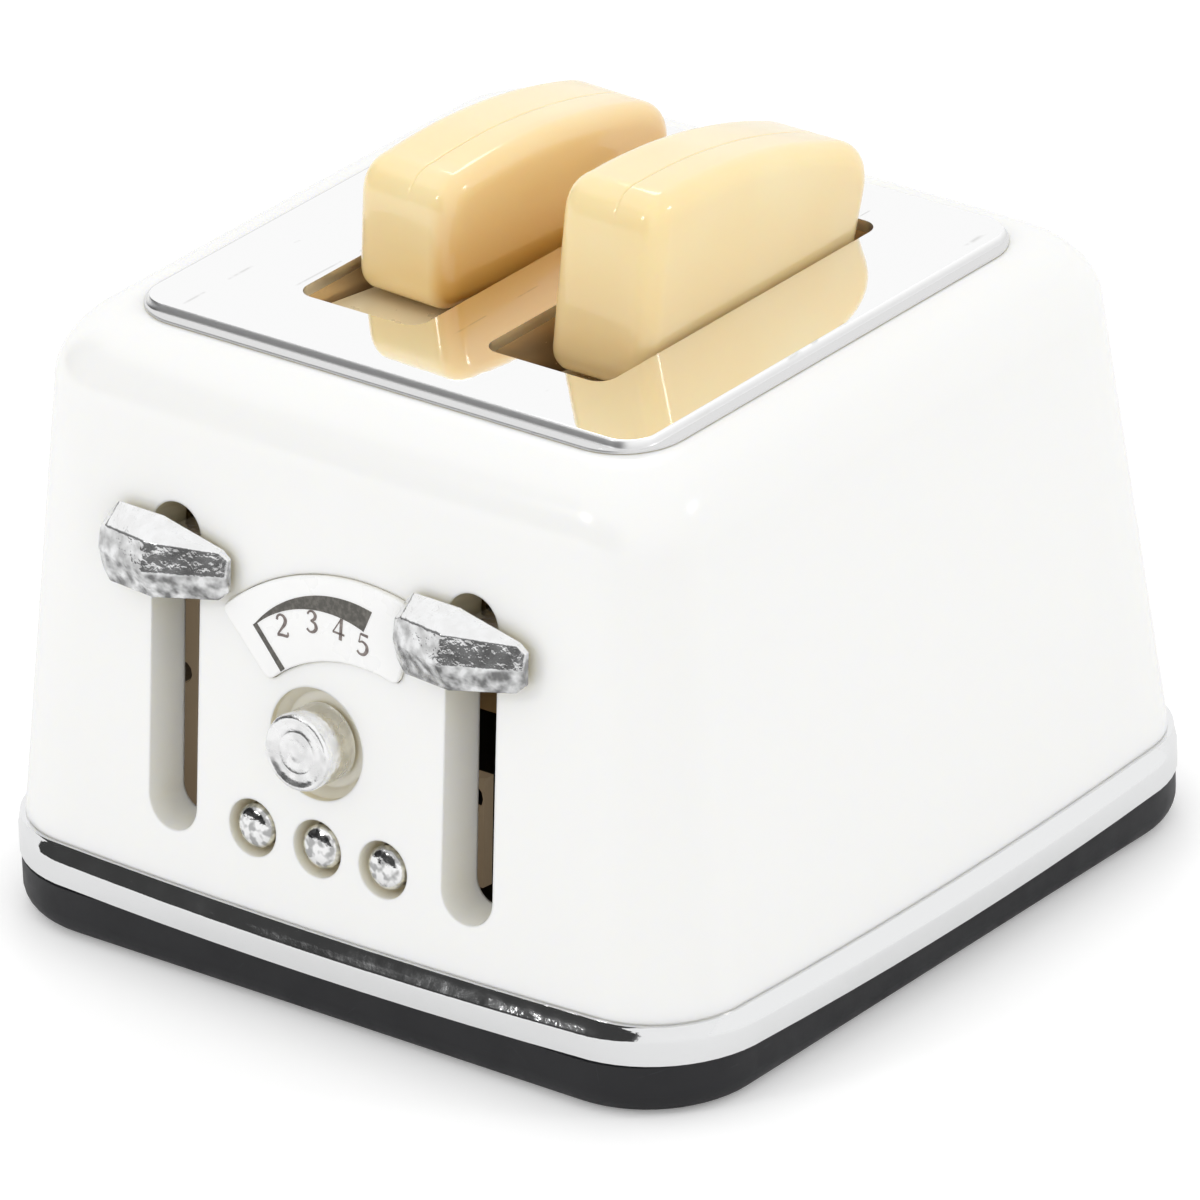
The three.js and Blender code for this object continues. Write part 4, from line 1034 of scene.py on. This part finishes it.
def build_buttons():
    look = speckled_look("button_chrome", 0.3, 0.45, (0.08, 0.2))
    # Radius and how far out: the domed head, the barrel, the flange that keeps it in, and the stem
    profile = [
        (0, 0.36), (0.2, 0.352), (0.4, 0.325), (0.58, 0.275), (0.71, 0.19), (0.79, 0.08), (0.81, 0.0),
        (0.8, -0.04), (0.72, -0.06), (0.72, -1.48), (1.15, -1.48), (1.15, -1.93), (0.35, -1.93),
        (0.35, -4.15), (0, -4.15),
    ]
    for name, x in BUTTON_X.items():
        cap = revolve(f"button_cap_{name}", profile, 48)
        on_panel(cap, x, BUTTON_HEIGHT)
        smooth(cap, 50)
        dress(cap, look, f"push_{name}", [f"button_{name}"])


# Lever handles

HANDLE_BACK = 0.45
# Cross-sections from left to right: where along the bar, then (out, height) of the five edges
HANDLE_SECTIONS = [
    (-2.72, [(HANDLE_BACK, 1.02), (1.0, 0.6), (1.1, -0.12), (0.85, -0.95), (HANDLE_BACK, -0.85)]),
    (-2.3, [(HANDLE_BACK, 1.5), (1.22, 0.78), (1.32, -0.16), (0.95, -1.38), (HANDLE_BACK, -1.3)]),
    (-0.25, [(HANDLE_BACK, 1.46), (1.6, 0.82), (1.8, -0.3), (1.1, -1.42), (HANDLE_BACK, -1.3)]),
    (2.4, [(HANDLE_BACK, 0.86), (0.7, 0.8), (0.95, -0.05), (0.75, -0.95), (HANDLE_BACK, -0.9)]),
    (2.74, [(HANDLE_BACK, 0.6), (0.62, 0.55), (0.78, -0.05), (0.62, -0.6), (HANDLE_BACK, -0.6)]),
]
NECK = 0.7                      # half the side of the square neck behind the bar
NECK_REACH = 2.6


def handle_look():
    """Blotchy plated plastic with painted shade: bright on top, grey on the front and dark beneath, broken
    by random bright patches.
    """
    look = chrome_look("handle_chrome", rough=(0.05, 0.14), wave=0.1, grain=0.08, edges=0.05)
    look.set("Metallic", 0.84)
    # Painted shade: the plating's tone is set by which way the surface faces, dark beneath and bright on
    # top
    painted_facing_shade = look.ramp(look.facing_up(), [(0.25, 0.12), (0.55, 0.36), (0.8, 0.86)])
    patches = look.ramp(look.noise(0.5, 2), [(0.36, 0.0), (0.68, 0.9)])
    look.link(look.mix(patches, painted_facing_shade, CHROME), "Base Color")
    return look.done()


def build_handles():
    look = handle_look()
    square = [(-NECK, -NECK), (NECK, -NECK), (NECK, NECK), (-NECK, NECK)]
    for side, x in zip(SIDES, LEVER_X):
        sections = [
            [Vector((along, -out, height)) for out, height in edges]
            for along, edges in HANDLE_SECTIONS
        ]
        bar = fix_normals(loft(f"handle_{side}", sections))
        join(bar, [prism("neck", square, HANDLE_BACK + 0.4, -NECK_REACH)])
        bevel(bar, 0.05, segments=3, angle=9, sharp=7)
        on_panel(bar, x, LEVER_REST)
        dress(bar, look, f"lift_{side}", [f"lever_{side}"])


# Toast slices

# The rear edge leans out by the flare for each millimetre up. Dome is how far the top rises above its
# corners, crown is where along it, and the bends are shares of the dome at which the corners end.
# Parting is how far the parting line lies right of the middle, and groove is its depth
TOAST = {
    "length": 11.55, "flare": 0.16, "dome": 0.7, "crown": 0.53, "front_bend": 0.16, "rear_bend": 0.45,
    "thickness": 4.4, "edge": 0.8, "top_corner": 1.35, "rear_corner": 1.65, "bottom_corner": 0.9,
    "parting": 0.3, "groove": 0.045, "half_groove": 0.04, "groove_support": 0.09,
}
# Where each slice's lower front edge is, how far it leans back and turns, as slopes, and how high its
# top corners are
SLICE_PLACES = {
    "left": {
        "x": SLOT_X[0] - 0.3, "y": SLOT_FRONT + 2.7, "z": PLATE_TOP - 0.85,
        "lean": 0.1, "turn": 0.05, "corner_height": 4.85,
    },
    "right": {
        "x": SLOT_X[1] + 0.2, "y": SLOT_FRONT + 2.4, "z": PLATE_TOP - 1.55,
        "lean": 0.205, "turn": 0.0, "corner_height": 7.0,
    },
}


def toast_outline(inset, corner_height):
    """A slice seen from its side, as (along, up) points, drawn in by the inset."""
    low_corner = TOAST["bottom_corner"] - inset
    high_corner = TOAST["top_corner"] - inset
    rear_corner = TOAST["rear_corner"] - inset
    brow = corner_height - inset
    # A control point this high brings the middle of the curve up to the dome
    crown = brow + TOAST["dome"] * 5 / 3
    front_bend = brow + TOAST["dome"] * TOAST["front_bend"]
    rear_bend = brow + TOAST["dome"] * TOAST["rear_bend"]

    def rear(height):
        return TOAST["length"] - inset + TOAST["flare"] * height

    def at(along, up):
        return Vector((along, up))

    start = at(inset + low_corner, inset)
    points = [start]
    points += line(points[-1], at(rear(inset) - low_corner, inset), 8)
    points += curve(points[-1], at(rear(inset), inset), at(rear(inset + low_corner), inset + low_corner), 8)
    points += line(points[-1], at(rear(brow - rear_corner), brow - rear_corner), 6)
    points += curve(points[-1], at(rear(brow), brow), at(rear(brow) - rear_corner, rear_bend), 12)
    crest = at(TOAST["length"] * TOAST["crown"], crown)
    points += curve(points[-1], crest, at(inset + high_corner, front_bend), 24)
    points += curve(points[-1], at(inset, brow), at(inset, brow - high_corner), 12)
    points += line(points[-1], at(inset, inset + low_corner), 6)
    points += curve(points[-1], at(inset, inset), start, 8)
    return points[:-1]


def toast_rings(corner_height):
    """Rings of a slice from its left face to its right, with a shallow parting groove over the top."""
    edge = TOAST["edge"]
    flat = TOAST["thickness"] / 2 - edge
    steps = 10
    rings = []

    def add(x, inset):
        rings.append([Vector((x, q.x, q.y)) for q in toast_outline(inset, corner_height)])

    for i in range(steps + 1):
        angle = QUARTER * i / steps
        add(-flat - edge * math.cos(angle), edge * (1 - math.sin(angle)))
    for away in (-TOAST["groove_support"], -TOAST["half_groove"], 0.0):
        add(TOAST["parting"] + away, 0.0)
    for point in rings[-1]:
        if point.z > corner_height - TOAST["top_corner"]:
            point.z -= TOAST["groove"]
    for away in (TOAST["half_groove"], TOAST["groove_support"]):
        add(TOAST["parting"] + away, 0.0)
    for i in range(steps, -1, -1):
        angle = QUARTER * i / steps
        add(flat + edge * math.cos(angle), edge * (1 - math.sin(angle)))
    return rings


def build_toast():
    for side in SIDES:
        place = SLICE_PLACES[side]
        toast = fix_normals(loft(f"toast_{side}", toast_rings(place["corner_height"])))
        turn = Matrix.Rotation(-math.atan(place["turn"]), 4, "Z")
        lean = Matrix.Rotation(-math.atan(place["lean"]), 4, "X")
        move = Matrix.Translation(Vector((place["x"], place["y"], place["z"])) * MM)
        toast.data.transform(move @ turn @ lean)
        smooth(toast, 60)
        dress(toast, toast_look(side), f"slice_{side}", [f"bread_slice_{side}"])


# Frame nodes that keep their own shape

def dress_inner_nodes():
    steel = steel_look()
    brass = brass_look()
    inner = inner_look()
    well = well_look()
    tray = tray_look()
    looks = {
        "base_screw": steel, "knob_shaft": steel, "knob_clip": steel, "button_spring": steel,
        "guide_rod": steel, "lift_spring": steel, "frame_screw": steel, "lift_carriage": brass,
        "button_bracket": inner, "mechanism_frame": inner, "bread_well": well, "bread_tray": tray,
    }
    for name, node in frame["nodes"].items():
        for start, look in looks.items():
            if name.startswith(start):
                node.data.materials.clear()
                node.data.materials.append(look)


# Camera at the photograph's place

# Solved from the photograph's outlines: angles in degrees, lengths in millimetres. The centre is how far
# right of and below the picture's middle the target lies, in pixels
CAMERA = {
    "distance": 550.0, "azimuth": 39.228, "elevation": 25.852, "roll": -2.409,
    "pixels_per_mm": 28.447, "centre_x": -8.779, "centre_y": -2.374, "target_z": 10.0,
}
PHOTO_SIDE = 1200
SENSOR = 36.0


def build_camera():
    azimuth = math.radians(CAMERA["azimuth"])
    elevation = math.radians(CAMERA["elevation"])
    roll = math.radians(CAMERA["roll"])
    back = Vector((
        math.sin(azimuth) * math.cos(elevation),
        -math.cos(azimuth) * math.cos(elevation),
        math.sin(elevation),
    ))
    right = Vector((math.cos(azimuth), math.sin(azimuth), 0))
    up = back.cross(right)
    rolled_right = right * math.cos(roll) + up * math.sin(roll)
    rolled_up = up * math.cos(roll) - right * math.sin(roll)
    place = (Vector((0, 0, CAMERA["target_z"])) + back * CAMERA["distance"]) * MM
    camera = bpy.data.objects.new("camera", bpy.data.cameras.new("camera"))
    bpy.context.scene.collection.objects.link(camera)
    camera.matrix_world = Matrix((
        (rolled_right.x, rolled_up.x, back.x, place.x),
        (rolled_right.y, rolled_up.y, back.y, place.y),
        (rolled_right.z, rolled_up.z, back.z, place.z),
        (0, 0, 0, 1),
    ))
    camera.data.sensor_width = SENSOR
    camera.data.lens = CAMERA["pixels_per_mm"] * CAMERA["distance"] / PHOTO_SIDE * SENSOR
    camera.data.shift_x = -CAMERA["centre_x"] / PHOTO_SIDE
    camera.data.shift_y = CAMERA["centre_y"] / PHOTO_SIDE
    camera.data.clip_start = 0.01
    camera.data.clip_end = 10
    bpy.context.scene.camera = camera


# Floor, world and lamps

FLOOR_HALF = 1500.0
SIT_GAP = 0.01                  # keeps the floor and the pan's flat foot out of one plane
FLOOR_GLOW = 0.2                # light that only the camera sees, so that the floor shows nearly white


def build_floor():
    signs = ((-1, -1), (1, -1), (1, 1), (-1, 1))
    corners = [(x * FLOOR_HALF, y * FLOOR_HALF, -SIT_GAP) for x, y in signs]
    floor = new_object("floor", corners, [(0, 1, 2, 3)])
    material = bpy.data.materials.new("floor_white")
    material.use_nodes = True
    tree = material.node_tree
    shader = tree.nodes["Principled BSDF"]
    shader.inputs["Base Color"].default_value = (0.9, 0.9, 0.9, 1)
    shader.inputs["Roughness"].default_value = 0.7
    glow = tree.nodes.new("ShaderNodeEmission")
    path = tree.nodes.new("ShaderNodeLightPath")
    add = tree.nodes.new("ShaderNodeAddShader")
    seen = math_node(tree, "MULTIPLY", path.outputs["Is Camera Ray"], FLOOR_GLOW)
    tree.links.new(seen, glow.inputs["Strength"])
    tree.links.new(shader.outputs[0], add.inputs[0])
    tree.links.new(glow.outputs[0], add.inputs[1])
    tree.links.new(add.outputs[0], tree.nodes["Material Output"].inputs["Surface"])
    floor.data.materials.append(material)


FRONT_LEFT = Vector((-0.632, -0.775))
DARK_LEVEL = 0.05               # how bright the dark stretch still is


def build_world():
    """White all round, with one dark stretch of horizon to the front left that only reflections show."""
    world = bpy.data.worlds.new("studio")
    bpy.context.scene.world = world
    world.use_nodes = True
    tree = world.node_tree
    tree.nodes.clear()

    apart = tree.nodes.new("ShaderNodeSeparateXYZ")
    tree.links.new(tree.nodes.new("ShaderNodeTexCoord").outputs["Generated"], apart.inputs[0])
    along_x = math_node(tree, "MULTIPLY", apart.outputs["X"], FRONT_LEFT.x)
    along_y = math_node(tree, "MULTIPLY", apart.outputs["Y"], FRONT_LEFT.y)
    sideways = soft_step(tree, math_node(tree, "ADD", along_x, along_y), 0.35, 0.62)
    under_top = soft_step(tree, apart.outputs["Z"], 0.74, 0.54)
    over_foot = soft_step(tree, apart.outputs["Z"], -0.4, -0.3)
    dark = math_node(tree, "MULTIPLY", math_node(tree, "MULTIPLY", sideways, under_top), over_foot)
    path = tree.nodes.new("ShaderNodeLightPath")
    dark_seen = math_node(tree, "MULTIPLY", dark, path.outputs["Is Glossy Ray"])
    dimmed = math_node(tree, "MULTIPLY", dark_seen, 1.0 - DARK_LEVEL)
    sky = tree.nodes.new("ShaderNodeBackground")
    sky.inputs["Color"].default_value = (1, 1, 1, 1)
    tree.links.new(math_node(tree, "SUBTRACT", 1.0, dimmed), sky.inputs["Strength"])
    tree.links.new(sky.outputs[0], tree.nodes.new("ShaderNodeOutputWorld").inputs["Surface"])


LAMP_DISTANCE = 320.0
LAMP_AIM = Vector((0, 0, 12))


def add_lamp(name, azimuth, elevation, size, power):
    """A square lamp on a sphere round the toaster: azimuth 0 is in front of it and 90 to its right."""
    data = bpy.data.lights.new(name, "AREA")
    data.shape = "RECTANGLE"
    data.size = size * MM
    data.size_y = size * MM
    data.energy = power
    lamp = bpy.data.objects.new(name, data)
    bpy.context.scene.collection.objects.link(lamp)
    turn = math.radians(azimuth)
    rise = math.radians(elevation)
    away = Vector((math.sin(turn) * math.cos(rise), -math.cos(turn) * math.cos(rise), math.sin(rise)))
    lamp.location = (LAMP_AIM + away * LAMP_DISTANCE) * MM
    lamp.rotation_euler = (LAMP_AIM * MM - lamp.location).to_track_quat("-Z", "Y").to_euler()


def build_lamps():
    add_lamp("front_left", azimuth=-25, elevation=32, size=45, power=0.075)
    add_lamp("rear_right", azimuth=118, elevation=34, size=45, power=0.06)
    add_lamp("rear_left", azimuth=-140, elevation=45, size=60, power=0.04)


build_shell()
build_plate()
build_trim()
build_pan()
build_dial()
build_knob()
build_buttons()
build_handles()
build_toast()
dress_inner_nodes()
build_floor()
build_world()
build_lamps()
build_camera()
bpy.context.scene.view_settings.view_transform = "Standard"
